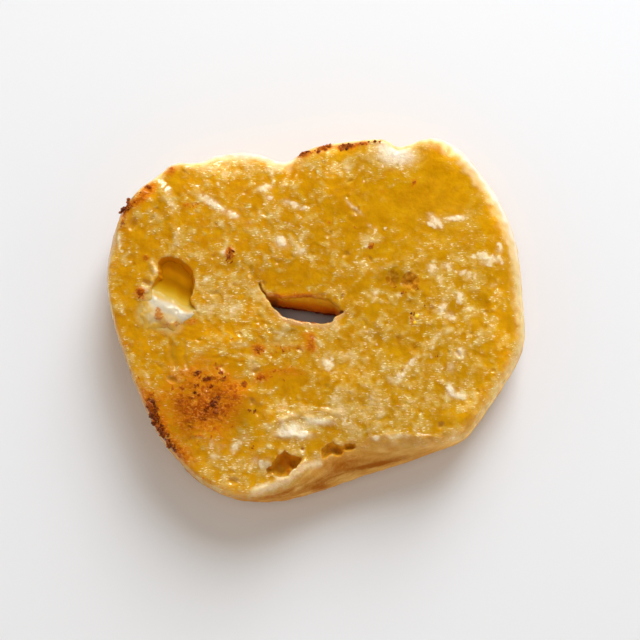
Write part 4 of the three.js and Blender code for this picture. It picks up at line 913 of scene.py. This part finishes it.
# painted light and shade: the listed patches, lighter at the lower right edge, a little darker on the lit sides near
# the edge
mask(bread, "light", plan_at(light + (0.28 * bell(turn_between(DEG, 327), 17) - 0.12 * sunlit) * smooth(3.6, 1.6, out), px, py) * smooth(6.0, 13.0, pz))
mask(bread, "crust", crust)
# painted light: the crust paler high up on the lit sides
painted_sunlit_crust = smooth(9.0, 16.0, pz) * upward * plan_at(sunny, px, py)
mask(bread, "painted_sunlit_crust", painted_sunlit_crust)
# crust tone: the listed lighter and darker parts, lighter towards the lower right edge as painted light, darker round
# the left
mask(bread, "tone", plan_at(blobs(CRUSTTONE), px, py) * smooth(6.0, 11.0, pz) + (0.5 * plan_at(bell(turn_between(DEG, 335), 28), px, py) - 1.0 * plan_at(bell(turn_between(DEG, 214), 42), px, py)) * smooth(3.0, 16.0, pz))
mask(bread, "fleck", smooth(0.02, 0.24, plan_at(fleck_rise, px, py)) * smooth(1.2, 0.4, depth_v))
mask(bread, "fleck_shade", plan_at(fleck_shade, px, py))
mask(bread, "bit", smooth(0.02, 0.20, plan_at(bit_rise, px, py)) * smooth(2.0, 0.8, depth_v))
mask(bread, "bit_shade", plan_at(bit_shade, px, py))
mask(bread, "olive", smooth(-18.0, 22.0, px))
mask(bread, "cave", cave)
mask(bread, "den", den)
mask(bread, "selvage", plan_at(selvage, px, py) * smooth(2.0, 1.0, depth_v) * (1 - cave))
mask(bread, "torn", plan_at(torn, px, py) * smooth(9.0, 12.0, pz) * (1 - cave))
pits = sum(smooth(1.25, 0.85, np.hypot((px - x) / a, (py - y) / b)) * (0.75 + 0.25 * (c > 1.2)) for x, y, z, a, b, c in PITS)
# darker in the shallow hollows and pits: partly butter in them, partly painted shade
mask(bread, "dent", np.maximum(plan_at(dents, px, py), pits) * smooth(2.5, 1.8, depth_v))
mask(bread, "drop", sum(bell(np.hypot(px - x, py - y), wide * 1.1) for x, y, wide in DROPS) * smooth(2.0, 1.0, depth_v))
mask(bread, "throat", throat)
mask(bread, "near_wall", near_wall)
mask(bread, "brink", brink)
mask(bread, "smear", plan_at(blobs(SMEAR), px, py) * smooth(1.4, 0.6, depth_v))
mask(bread, "sunk", np.clip(depth_v / 14.0, 0, 1))
# convexity: paler on ridges and bumps, darker in hollows, partly butter pooled low, partly painted shade
mask(bread, "ridge", np.clip((0.5 - filled["near"]) * 4 + 0.5, 0, 1))
mask(bread, "swell", np.clip((0.5 - filled["far"]) * 4 + 0.5, 0, 1))
# darker lower down in the crumb: partly butter pooled in the hollows, partly painted shade
mask(bread, "deep", np.clip(depth_v / 1.2, 0, 1) * smooth(-0.3, 0.9, edge_v))
tick("masks")


# ------------------------------------------------------------------------------------------------
# Materials
def rgb(r, g, b):
    """A colour given as it is seen, 0 to 255."""
    return tuple(((v / 255 + 0.055) / 1.055) ** 2.4 if v > 10 else v / 255 / 12.92 for v in (r, g, b)) + (1.0,)


class Material:
    def __init__(self, name):
        self.m = bpy.data.materials.new(name)
        self.m.use_nodes = True
        self.nt = self.m.node_tree
        self.out = self.nt.nodes["Principled BSDF"]
        self.co = self.nt.nodes.new("ShaderNodeTexCoord").outputs["Object"]

    def put(self, socket, value):
        if isinstance(value, bpy.types.NodeSocket):
            self.nt.links.new(value, socket)
        else:
            socket.default_value = value

    def set(self, **values):
        for name, value in values.items():
            self.put(self.out.inputs[name.replace("_", " ")], value)

    def math(self, op, a, b=0.0, c=0.0, clamp=False):
        n = self.nt.nodes.new("ShaderNodeMath")
        n.operation, n.use_clamp = op, clamp
        for i, v in enumerate((a, b, c)):
            self.put(n.inputs[i], v)
        return n.outputs[0]

    def add(self, *terms):
        """Sum of sockets, numbers and (socket, factor) pairs."""
        total = None
        for t in terms:
            if isinstance(t, tuple):
                total = self.math("MULTIPLY", t[0], t[1]) if total is None else self.math("MULTIPLY_ADD", t[0], t[1], total)
            else:
                total = t if total is None else self.math("ADD", total, t)
        return total

    def times(self, a, b):
        return self.math("MULTIPLY", a, b)

    def step(self, x, lo, hi, to=(0.0, 1.0)):
        n = self.nt.nodes.new("ShaderNodeMapRange")
        n.interpolation_type = "SMOOTHSTEP"
        for i, v in enumerate((x, lo, hi, to[0], to[1])):
            self.put(n.inputs[i], v)
        return n.outputs[0]

    def mix(self, f, a, b, how="MIX"):
        n = self.nt.nodes.new("ShaderNodeMix")
        n.data_type, n.blend_type, n.clamp_factor = "RGBA", how, True
        self.put(n.inputs[0], f)
        self.put(n.inputs[6], a)
        self.put(n.inputs[7], b)
        return n.outputs[2]

    def attr(self, name):
        n = self.nt.nodes.new("ShaderNodeAttribute")
        n.attribute_name = name
        return n.outputs["Fac"]

    def noise(self, wave, detail=2.0, rough=0.5, twist=0.0, stretch=(1, 1, 1), shift=0.0):
        """Noise, 0 to 1 round 0.5, with features about wave mm apart."""
        n = self.nt.nodes.new("ShaderNodeTexNoise")
        m = self.nt.nodes.new("ShaderNodeMapping")
        m.inputs["Location"].default_value = (shift, shift * 0.7, shift * 1.3)
        m.inputs["Scale"].default_value = tuple(1000.0 / wave / s for s in stretch)
        self.nt.links.new(self.co, m.inputs["Vector"])
        self.nt.links.new(m.outputs[0], n.inputs["Vector"])
        n.inputs["Scale"].default_value = 1.0
        n.inputs["Detail"].default_value = detail
        n.inputs["Roughness"].default_value = rough
        n.inputs["Distortion"].default_value = twist
        return n.outputs["Fac"]

    def cells(self, wave, jitter=1.0):
        """Round beads about wave mm apart: 1 at their tops, 0 between them."""
        n = self.nt.nodes.new("ShaderNodeTexVoronoi")
        n.feature = "F1"
        n.inputs["Scale"].default_value = 1000.0 / wave
        n.inputs["Randomness"].default_value = jitter
        self.nt.links.new(self.co, n.inputs["Vector"])
        return self.step(n.outputs["Distance"], 0.62, 0.0)

    def bump(self, height, distance, strength=1.0, normal=None):
        n = self.nt.nodes.new("ShaderNodeBump")
        n.inputs["Distance"].default_value = distance * MM
        n.inputs["Strength"].default_value = strength
        self.nt.links.new(height, n.inputs["Height"])
        if normal is not None:
            self.nt.links.new(normal, n.inputs["Normal"])
        return n.outputs["Normal"]


def bread_material():
    m = Material("buttered_bread")
    soak, dry, toast, burn, white = (m.attr(n) for n in ("soak", "dry", "toast", "burn", "white"))
    lobe, rim, crust, cave, throat = (m.attr(n) for n in ("lobe", "rim", "crust", "cave", "throat"))
    ridge, swell, deep = (m.attr(n) for n in ("ridge", "swell", "deep"))
    micro = m.noise(0.5, 2, 0.6, shift=1)
    fleck = m.noise(1.1, 3, 0.6, twist=0.5, shift=2)
    patch = m.noise(3.6, 3, 0.55, twist=0.3, shift=3)
    fibre = m.step(m.math("ABSOLUTE", m.add(m.noise(2.0, 3, 0.5, twist=0.6, stretch=(1.4, 0.85, 1.0), shift=6), -0.5)), 0.14, 0.0)
    # from pools of butter, over soaked crumb, to cream crumb that stands up
    open_crumb = m.times(m.step(dry, -0.3, 0.4, (0.35, 1.0)), m.step(dry, 0.6, 1.3, (1.0, 0.6)))
    q = m.add(dry, (m.times(open_crumb, m.add((fleck, 0.15), (micro, 0.26), (ridge, 0.15), (swell, 0.2), (fibre, 0.16), -0.465)), 1.0), (deep, -0.35), 0.0)
    tint = m.step(m.add((patch, 0.8), (fleck, 0.4)), 0.35, 0.85)
    pool = m.mix(m.attr("olive"), m.mix(tint, rgb(196, 131, 1), rgb(218, 158, 4)), m.mix(tint, rgb(189, 130, 1), rgb(212, 156, 5)))
    colour = m.mix(m.step(q, -0.28, 0.58), pool, m.mix(m.attr("olive"), rgb(208, 157, 44), rgb(208, 159, 47)))
    colour = m.mix(m.step(q, 0.14, 0.95), colour, m.mix(m.attr("olive"), rgb(212, 168, 80), rgb(213, 171, 84)))
    colour = m.mix(m.step(q, 0.62, 1.45), colour, rgb(229, 198, 140))
    colour = m.mix(m.step(q, 1.2, 1.8), colour, rgb(248, 232, 200))
    # painted glints: small pale dashes in the colour over the crumb
    painted_glint = m.times(m.step(m.noise(0.46, 1, 0.5, stretch=(1.9, 0.75, 1.0), shift=9), 0.575, 0.69), m.step(q, -0.2, 0.5))
    colour = m.mix(m.times(painted_glint, m.step(m.noise(2.2, 2, 0.5, shift=10), 0.39, 0.59, (0.2, 0.9))), colour, rgb(253, 232, 176))
    # darker amber lower down in the crumb: partly butter pooled in the hollows, partly painted shade
    colour = m.mix(m.times(m.step(deep, 0.1, 1.0), 0.7), colour, rgb(206, 122, 8))
    colour = m.mix(m.step(cave, 0.1, 0.9), colour, m.mix(fleck, rgb(212, 136, 12), rgb(240, 178, 44)))
    colour = m.mix(m.step(m.attr("den"), 0.1, 0.9), colour, m.mix(fleck, rgb(210, 132, 4), rgb(222, 146, 10)))
    # darker amber in the shallow hollows and pits: partly butter in them, partly painted shade
    colour = m.mix(m.step(m.attr("dent"), 0.15, 0.9, (0.0, 0.85)), colour, m.mix(m.step(m.add(fleck, (micro, 0.5), -0.25), 0.35, 0.75), rgb(180, 106, 4), rgb(216, 156, 46)))
    # toasting
    t = m.add(toast, m.times(toast, m.add((fleck, 2.4), (patch, 1.6), (ridge, 1.0), -2.45)))
    colour = m.mix(m.step(t, 0.10, 0.55), colour, rgb(206, 122, 6))
    colour = m.mix(m.step(t, 0.38, 0.95), colour, rgb(166, 78, 6))
    b = m.add(burn, m.times(burn, m.add((fleck, 2.6), (micro, 1.4), -2.0)))
    colour = m.mix(m.step(b, 0.15, 0.65), colour, rgb(92, 36, 8))
    # painted glints on the toasting
    glints = m.times(m.step(m.noise(0.5, 1, 0.5, stretch=(1.7, 0.8, 1.0), shift=17), 0.57, 0.67), m.step(toast, 0.1, 0.5))
    colour = m.mix(m.times(glints, 0.55), colour, rgb(230, 158, 66))
    # white butter
    w = m.add(white, m.times(white, m.add((fleck, 1.5), (micro, 0.4), (ridge, 0.8), -1.35)))
    colour = m.mix(m.times(m.step(w, 0.0, 1.1), 0.85), colour, rgb(248, 233, 204))
    f = m.add(m.attr("fleck"), m.times(m.attr("fleck"), m.add((micro, 0.8), (fleck, 0.6), -0.7)))
    tint = m.mix(m.add(m.attr("fleck_shade"), (micro, 0.6), -0.3), rgb(236, 206, 150), rgb(250, 236, 206))
    colour = m.mix(m.times(m.step(f, 0.10, 0.95), 0.68), colour, tint)
    g = m.add(m.attr("bit"), m.times(m.attr("bit"), m.add((micro, 1.6), (fleck, 0.8), -1.2)))
    shade = m.add(m.attr("bit_shade"), (micro, 0.7), -0.35)
    tint = m.mix(m.step(shade, 0.0, 0.45), rgb(216, 138, 34), rgb(180, 90, 16))
    tint = m.mix(m.step(shade, 0.40, 0.95), tint, rgb(98, 34, 6))
    colour = m.mix(m.step(g, 0.15, 0.80), colour, tint)
    # smooth crumb along the torn front edge, and the lip itself
    v = m.add(m.attr("selvage"), m.times(m.attr("selvage"), m.add((patch, 0.9), (fleck, 0.5), -0.65)))
    colour = m.mix(m.times(m.step(v, 0.10, 0.85), 0.85), colour, m.mix(m.step(patch, 0.35, 0.65), rgb(204, 149, 60), rgb(222, 174, 90)))
    # crust
    streak = m.noise(6.0, 4, 0.6, twist=0.4, stretch=(1, 1, 0.22), shift=4)
    blotch = m.noise(16.0, 3, 0.5, shift=5)
    s0 = m.add((streak, 1.0), (blotch, 0.4), -0.2)
    tan = m.mix(m.step(s0, 0.30, 0.60), rgb(204, 140, 54), rgb(216, 160, 76))
    tan = m.mix(m.step(s0, 0.50, 0.80), tan, rgb(232, 188, 110))
    tone = m.add(m.attr("tone"), (m.add((streak, 0.6), (blotch, 0.2), -0.4), 1.0))
    tan = m.mix(m.step(m.add(tone, (fleck, 0.5), -0.25), 0.0, -0.6), tan, rgb(170, 94, 14))
    tan = m.mix(m.step(tone, 0.05, 0.7), tan, rgb(250, 210, 122))
    # painted light: paler crust high up on the lit sides
    tan = m.mix(m.attr("painted_sunlit_crust"), tan, rgb(244, 231, 204))
    colour = m.mix(crust, colour, tan)
    n = m.add(m.attr("torn"), m.times(m.attr("torn"), m.add((fleck, 1.2), (micro, 0.4), -0.8)))
    colour = m.mix(m.times(m.step(n, 0.10, 1.0), 0.8), colour, rgb(240, 214, 168))
    colour = m.mix(m.step(m.attr("drop"), 0.3, 0.8), colour, rgb(255, 220, 60))
    # painted light and shade on the far wall of the hole: glowing orange high up, dark red-brown at its foot where
    # shade falls
    wall = m.mix(m.step(m.attr("sunk"), 0.10, 0.40), m.mix(fleck, rgb(255, 170, 8), rgb(255, 200, 50)), rgb(255, 162, 22))
    wall = m.mix(m.step(m.attr("sunk"), 0.74, 0.94), wall, rgb(140, 50, 12))
    colour = m.mix(m.step(throat, 0.1, 0.9), colour, wall)
    colour = m.mix(m.step(m.attr("near_wall"), 0.1, 0.8), colour, m.mix(m.step(m.attr("sunk"), 0.15, 0.35), rgb(128, 66, 18), rgb(246, 156, 62)))
    colour = m.mix(m.times(m.step(m.add(m.attr("brink"), (fleck, 0.5), -0.25), 0.15, 0.9), 0.75), colour, rgb(206, 163, 106))
    s1 = m.add(m.attr("smear"), m.times(m.attr("smear"), m.add((patch, 0.9), (fleck, 0.6), -0.75)))
    colour = m.mix(m.times(m.step(s1, 0.15, 0.9), 0.85), colour, rgb(226, 190, 116))
    # painted light on the edge, where light shines through it, lighter still on the lit sides
    colour = m.mix(m.times(m.step(m.add(rim, (fleck, 0.3), -0.15), 0.05, 0.95), 0.92), colour, rgb(230, 194, 124))
    colour = m.mix(m.step(m.attr("halo"), 0.0, 0.6), colour, rgb(231, 199, 132))
    colour = m.mix(m.step(m.attr("halo"), 0.45, 1.0), colour, rgb(242, 227, 194))
    colour = m.mix(m.times(m.times(rim, m.attr("sunlit")), 0.75), colour, rgb(226, 202, 160))
    colour = m.mix(m.times(m.step(m.attr("halo"), 0.3, 0.9), m.attr("sunlit")), colour, rgb(238, 219, 202))
    colour = m.mix(m.times(m.step(m.add(white, (fleck, 0.8), -0.4), 0.95, 1.5), 0.85), colour, rgb(252, 246, 234))
    # painted light and shade: the colour scaled by the light mask, its darkening weaker on the crust
    lit = m.add(m.math("MAXIMUM", m.attr("light"), 0.0), (m.math("MINIMUM", m.attr("light"), 0.0), m.add((crust, -0.7), 1.0)), 1.0)
    painted_light_scale = m.nt.nodes.new("ShaderNodeVectorMath")
    painted_light_scale.operation = "SCALE"
    m.put(painted_light_scale.inputs[0], colour)
    m.put(painted_light_scale.inputs["Scale"], lit)
    colour = m.mix(1.0, (0, 0, 0, 1), painted_light_scale.outputs[0])
    wet = m.math("SUBTRACT", m.step(m.add((patch, 0.8), (soak, 0.3), (white, 0.6), (toast, 0.6), (lobe, -0.9), (m.attr("dent"), -1.2), (m.times(throat, m.attr("sunk")), -1.2)), 0.1, 0.6), m.math("MAXIMUM", crust, m.step(g, 0.1, 0.6)), clamp=True)
    m.set(Base_Color=colour, Roughness=m.add((fleck, 0.20), (crust, 0.10), 0.34), Coat_Weight=m.add((wet, 0.80), 0.02))
    m.set(Coat_Roughness=0.06, Coat_IOR=1.47, IOR=1.40, Specular_IOR_Level=0.02)
    solid = m.math("MAXIMUM", m.math("MAXIMUM", m.step(f, 0.15, 0.75), m.step(w, 0.1, 0.85)), m.step(q, 0.8, 1.6))
    m.set(Subsurface_Weight=m.add((m.times(solid, m.add((crust, -1.0), 1.0)), -0.40), (crust, -0.45), 0.80), Subsurface_Radius=(1.0, 0.55, 0.2), Subsurface_Scale=0.0020)
    beads = m.cells(0.70, 0.9)
    bead_on = m.times(m.step(q, 0.1, 1.0), m.step(m.noise(1.3, 1, 0.5, shift=8), 0.42, 0.62))
    ripple = m.noise(1.0, 2, 0.5, twist=0.3, stretch=(2.0, 0.85, 1.0), shift=15)
    calm = m.times(m.add(m.step(q, -0.5, 0.4, (0.25, 1.0)), (toast, 0.9)), m.add((crust, -0.8), 1.0))
    h = m.add((m.times(beads, bead_on), 0.6), (m.times(micro, m.attr("fleck")), 0.3), (micro, 0.5), (fleck, 0.2), (m.times(ripple, calm), 1.2))
    m.set(Normal=m.bump(h, 0.15, 1.0))
    return m.m


bread.data.materials.clear()
bread.data.materials.append(bread_material())
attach(bread, "root")
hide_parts("bagel_half")

# ------------------------------------------------------------------------------------------------
# The half-melted lump of butter in the largest pocket
BSTEP = 0.22
bx, by, bz = np.arange(-46.5, -26.0, BSTEP), np.arange(-8.5, 15.0, BSTEP), np.arange(8.0, 21.0, BSTEP)
BX, BY, BZ = np.meshgrid(bx, by, bz, indexing="ij")


CREST = [(-43.8, 2.8), (-41.9, 4.1), (-40.0, 4.5), (-38.9, 3.7), (-36.7, 2.8), (-34.4, 2.0), (-33.0, 0.7), (-31.3, 0.1), (-29.1, 0.5), (-26.4, 0.8)]
LUMP = [
    (-43.4, 1.8), (-43.4, -1.1), (-42.1, -3.3), (-40.1, -3.8), (-38.3, -3.7), (-36.6, -4.8), (-34.4, -4.6), (-32.2, -3.4),
    (-31.2, -1.8), (-29.4, -1.2), (-28.0, 0.3), (-29.4, 1.0), (-31.2, 1.8), (-33.0, 3.0), (-34.9, 3.8), (-37.2, 4.2),
    (-39.6, 5.0), (-42.0, 3.8),
]
bx2, by2 = BX[:, :, 0], BY[:, :, 0]
d_lump, d_tongue = outline_distance(LUMP, bx2, by2), outline_distance(BUTTER_POCKET, bx2, by2) - 0.9
d_lump += 0.30 * plan_at(mid, bx2, by2) + 0.12 * plan_at(grain, bx2, by2)
level = plan_at(EVEN, bx2, by2)
past = by2 - np.interp(bx2, *zip(*CREST))
slope = smooth(-0.9, 7.6, past)
swells = 0.0
for x, y, by_, wide in ((-41.3, -0.4, 0.25, 1.8), (-38.0, -1.4, 0.25, 1.5), (-35.2, -2.6, 0.35, 1.6), (-32.6, -1.6, 0.30, 1.3), (-36.6, 1.4, 0.35, 2.6)):
    swells = swells + by_ * bell(np.hypot(bx2 - x, by2 - y), wide)
fat_top = level - 0.22 + 0.75 * smooth(0.4, -3.2, d_lump) * (1 - slope) + swells * smooth(0.0, -1.5, d_lump) - 3.7 * slope
fat_top += 0.05 * np.sin(bx2 * 1.7 + 0.6 * by2) * np.sin(by2 * 1.3) + 0.03 * np.sin(bx2 * 3.1 + by2) * np.sin(by2 * 2.7 - bx2)
fat = smax((BZ - fat_top[:, :, None]) * 0.75, np.minimum(d_lump, d_tongue)[:, :, None], 0.5)
fat = smax(fat, (level - 8.6)[:, :, None] - BZ, 0.5)
BV, BF = surface_nets(fat, (bx[0], by[0], bz[0]), BSTEP)
butter = mesh_object("butter_lump", BV, BF)
thin_out(butter, 40000)
Q = points_of(butter)
above = Q[:, 2] - plan_at(EVEN, Q[:, 0], Q[:, 1])
past = Q[:, 1] - np.interp(Q[:, 0], *zip(*CREST))
mask(butter, "mid", smooth(3.4, 5.6, past))
# painted light: the far end of the melt lighter, where the pocket's far wall casts shade
mask(butter, "far", smooth(5.8, 8.8, past))
mask(butter, "melt", np.maximum(smooth(-0.3, 4.8, past), 0.8 * smooth(-31.6, -30.0, Q[:, 0]) * smooth(0.2, 1.4, past)))
inward = -outline_distance(LUMP, Q[:, 0], Q[:, 1]) + 0.5 * plan_at(mid, Q[:, 0], Q[:, 1]) + 0.25 * plan_at(grain, Q[:, 0], Q[:, 1])
mask(butter, "thick", smooth(0.0, 3.4, inward))
crumbed = sum(by_ * bell(np.hypot(Q[:, 0] - x, Q[:, 1] - y), wide) for x, y, by_, wide in (
    (-38.3, -0.7, 1.1, 1.05), (-36.6, -3.4, 0.55, 1.8), (-30.2, -2.2, 0.6, 1.0), (-33.9, -2.7, 0.6, 0.8), (-38.6, 1.0, 0.5, 0.9)))
mask(butter, "crumbed", crumbed)
# the crest: whiter butter, with a painted sheen of reflected light
mask(butter, "crest_white_and_sheen", bell(past + 1.3, 1.8) * smooth(-42.5, -39.5, Q[:, 0]))
m = Material("melting_butter")
cloud, fine = m.noise(3.0, 2, 0.5, shift=11), m.noise(0.8, 2, 0.5, shift=12)
thick = m.add(m.attr("thick"), (cloud, 0.5), (fine, 0.3), -0.4)
colour = m.mix(m.step(thick, 0.0, 0.45), rgb(212, 162, 58), rgb(216, 170, 76))
colour = m.mix(m.step(thick, 0.30, 0.75), colour, rgb(216, 180, 106))
colour = m.mix(m.step(thick, 0.65, 1.05), colour, rgb(222, 196, 144))
# whiter crest: partly whiter butter, partly a painted reflection of the light
colour = m.mix(m.step(m.add(m.attr("crest_white_and_sheen"), (cloud, 0.4), -0.2), 0.1, 0.9), colour, rgb(208, 194, 168))
grit = m.noise(0.6, 2, 0.6, shift=13)
c = m.add(m.attr("crumbed"), m.times(m.attr("crumbed"), m.add((grit, 2.2), (cloud, 0.8), -1.5)))
colour = m.mix(m.step(c, 0.15, 0.7), colour, m.mix(grit, rgb(224, 158, 76), rgb(176, 92, 24)))
clear = m.add(m.attr("melt"), (cloud, 0.15), -0.075)
colour = m.mix(m.step(clear, -0.05, 0.30), colour, rgb(200, 174, 98))
colour = m.mix(m.step(clear, 0.15, 0.45), colour, rgb(196, 156, 46))
colour = m.mix(m.step(clear, 0.45, 0.95), colour, rgb(178, 130, 10))
colour = m.mix(m.attr("mid"), colour, rgb(170, 108, 4))
# painted light: the far end of the melt lighter amber, where the pocket's far wall casts shade
colour = m.mix(m.attr("far"), colour, m.mix(cloud, rgb(226, 148, 4), rgb(244, 172, 14)))
m.set(Base_Color=colour, Roughness=m.add((fine, 0.12), 0.30), Coat_Weight=m.step(clear, 0.1, 0.6, (0.6, 0.0)), Coat_Roughness=0.09, Coat_IOR=1.46, Specular_IOR_Level=0.0)
m.set(Subsurface_Weight=m.times(m.step(thick, 0.1, 0.9, (0.05, 0.6)), m.step(clear, 0.0, 0.5, (1.0, 0.35))), Subsurface_Radius=(1.0, 0.75, 0.4), Subsurface_Scale=0.0011, Normal=m.bump(m.add((cloud, 0.5), (fine, 0.3)), 0.12))
butter.data.materials.append(m.m)
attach(butter, "root")
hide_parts("butter_pat")
tick("butter")

# ------------------------------------------------------------------------------------------------
# Loose toasted crumbs
import bmesh


def unit_ball(level):
    b = bmesh.new()
    bmesh.ops.create_icosphere(b, subdivisions=level, radius=1.0)
    v = np.array([p.co[:] for p in b.verts])
    f = np.array([[p.index for p in q.verts] for q in b.faces])
    b.free()
    return v, f


def lumps(name, clusters, over, seed, shade, flat, sink):
    """One joined mesh of small rough lumps that sit on the bread, in clusters; those in over hang at its edge."""
    r = np.random.default_rng(seed)
    balls = {1: unit_ball(2), 2: unit_ball(3)}
    vs, fs, tones, n = [], [], [], 0
    for row, share, nearest in [(row, 0.3, 0.1) for row in clusters] + [(row, 1.0, -1.0) for row in over]:
        x0, y0, l, w, turn, count, small, large, *tone = row
        c, s = math.cos(math.radians(turn)), math.sin(math.radians(turn))
        for _ in range(int(count * share)):
            a, b = np.clip(r.normal(0, 0.5, 2), -1, 1)
            x, y = x0 + a * l * c - b * w * s, y0 + a * l * s + b * w * c
            edge = float(plan_at(EDGE, x, y))
            if edge < nearest:
                continue
            size = small + (large - small) * r.random() ** 1.6
            v, f = balls[2 if size > 0.42 else 1]
            q = r.normal(size=(3, 3))
            q, _r = np.linalg.qr(q)
            q *= np.sign(np.linalg.det(q))
            wave = sum(r.uniform(0.10, 0.22) * np.sin(v @ r.normal(0, 2.2, 3) + r.uniform(0, 6.28)) for _k in range(4))
            p = (v * (1 + wave)[:, None] * size * r.uniform(0.6, 1.3, 3)) @ q.T
            p[:, 2] *= flat
            inner = (x + (HOLE[0] - x) * 0.03, y + (HOLE[1] - y) * 0.03)
            z = float(plan_at(EVEN, *inner)) + size * flat * sink - 1.3 * max(0.0, 0.3 - edge)
            vs.append(p + (x, y, z))
            fs.append(f + n)
            tones.append(np.full(len(v), r.uniform(*tone) if tone else r.random()))
            n += len(v)
    ob = mesh_object(name, np.concatenate(vs), np.concatenate(fs))
    mask(ob, shade, np.concatenate(tones))
    tick(f"{name} {len(ob.data.polygons)} faces")
    return ob


bits = lumps("toasted_crumbs", [row for row in BITS if row[9] >= 0.8], EDGEBITS, 33, "tone", 0.8, -0.1)
m = Material("toasted_crumb")
fine, coarse = m.noise(0.35, 2, 0.6, shift=21), m.noise(1.2, 2, 0.6, shift=22)
tone = m.add(m.attr("tone"), (fine, 0.7), (coarse, 0.5), -0.6)
colour = m.mix(m.step(tone, 0.0, 0.45), rgb(222, 150, 52), rgb(184, 94, 22))
colour = m.mix(m.step(tone, 0.40, 0.95), colour, rgb(104, 46, 16))
m.set(Base_Color=colour, Roughness=m.add((fine, 0.2), 0.35), Coat_Weight=0.15, Coat_Roughness=0.10, Coat_IOR=1.45, Specular_IOR_Level=0.05)
m.set(Subsurface_Weight=0.15, Subsurface_Radius=(1.0, 0.4, 0.15), Subsurface_Scale=0.0006, Normal=m.bump(m.add((fine, 0.7), (coarse, 0.5)), 0.12))
bits.data.materials.append(m.m)
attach(bits, "root")

# ------------------------------------------------------------------------------------------------
# Floor, light, camera
bpy.ops.mesh.primitive_plane_add(size=3.0, location=(0, 0, -0.02 * MM))
floor = bpy.context.object
floor.name = "floor"
floor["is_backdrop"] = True
paper = Material("paper")
paper.set(Base_Color=paper.mix(paper.noise(300, 2), rgb(233, 233, 234), rgb(236, 236, 237)), Roughness=0.65)
floor.data.materials.append(paper.m)

world = bpy.data.worlds.new("world")
bpy.context.scene.world = world
world.use_nodes = True
wt = world.node_tree
sky = wt.nodes.new("ShaderNodeTexCoord")
split = wt.nodes.new("ShaderNodeSeparateXYZ")
wt.links.new(sky.outputs["Generated"], split.inputs[0])
belt = wt.nodes.new("ShaderNodeMapRange")
belt.interpolation_type = "SMOOTHSTEP"
for socket, value in zip(belt.inputs, (0.0, 0.55, 0.85, 0.80, 0.06)):
    socket.default_value = value
wt.links.new(split.outputs["Z"], belt.inputs[0])
wt.nodes["Background"].inputs["Color"].default_value = (1.0, 0.90, 0.80, 1)
wt.links.new(belt.outputs[0], wt.nodes["Background"].inputs["Strength"])


def area(name, at, size, energy, colour, aim=(0, 0, 0)):
    light = bpy.data.lights.new(name, "AREA")
    light.shape = "RECTANGLE"
    light.size, light.size_y = size
    light.energy = energy
    light.color = colour
    o = bpy.data.objects.new(name, light)
    bpy.context.scene.collection.objects.link(o)
    o.location = at
    o.rotation_euler = (Vector(aim) - o.location).to_track_quat("-Z", "Y").to_euler()
    return o


area("key", (0.29, 0.93, 0.76), (0.66, 1.0), 16.2, (0.92, 1.0, 1.085)).visible_glossy = False
area("overhead", (0.0, -0.04, 1.3), (0.9, 0.42), 2.0, (1.0, 0.96, 0.90)).visible_glossy = False
glint = area("glint", (0.33, 0.91, 0.80), (0.46, 0.46), 13.0, (1.0, 0.98, 0.93))
glint.visible_diffuse = glint.visible_transmission = glint.visible_volume_scatter = False

camera = bpy.data.cameras.new("camera")
camera.lens, camera.sensor_width = 101.25, 36
camera.clip_start, camera.clip_end = 0.01, 20
view = bpy.data.objects.new("camera", camera)
bpy.context.scene.collection.objects.link(view)
tilt = math.radians(82)
view.location = Vector((1.08, -0.36, 10.0)) * MM + 0.45 * Vector((0, -math.cos(tilt), math.sin(tilt)))
view.rotation_euler = (math.pi / 2 - tilt, 0, 0)
bpy.context.scene.camera = view
bpy.context.scene.view_settings.view_transform = "Standard"
tick("done")

lo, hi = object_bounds()
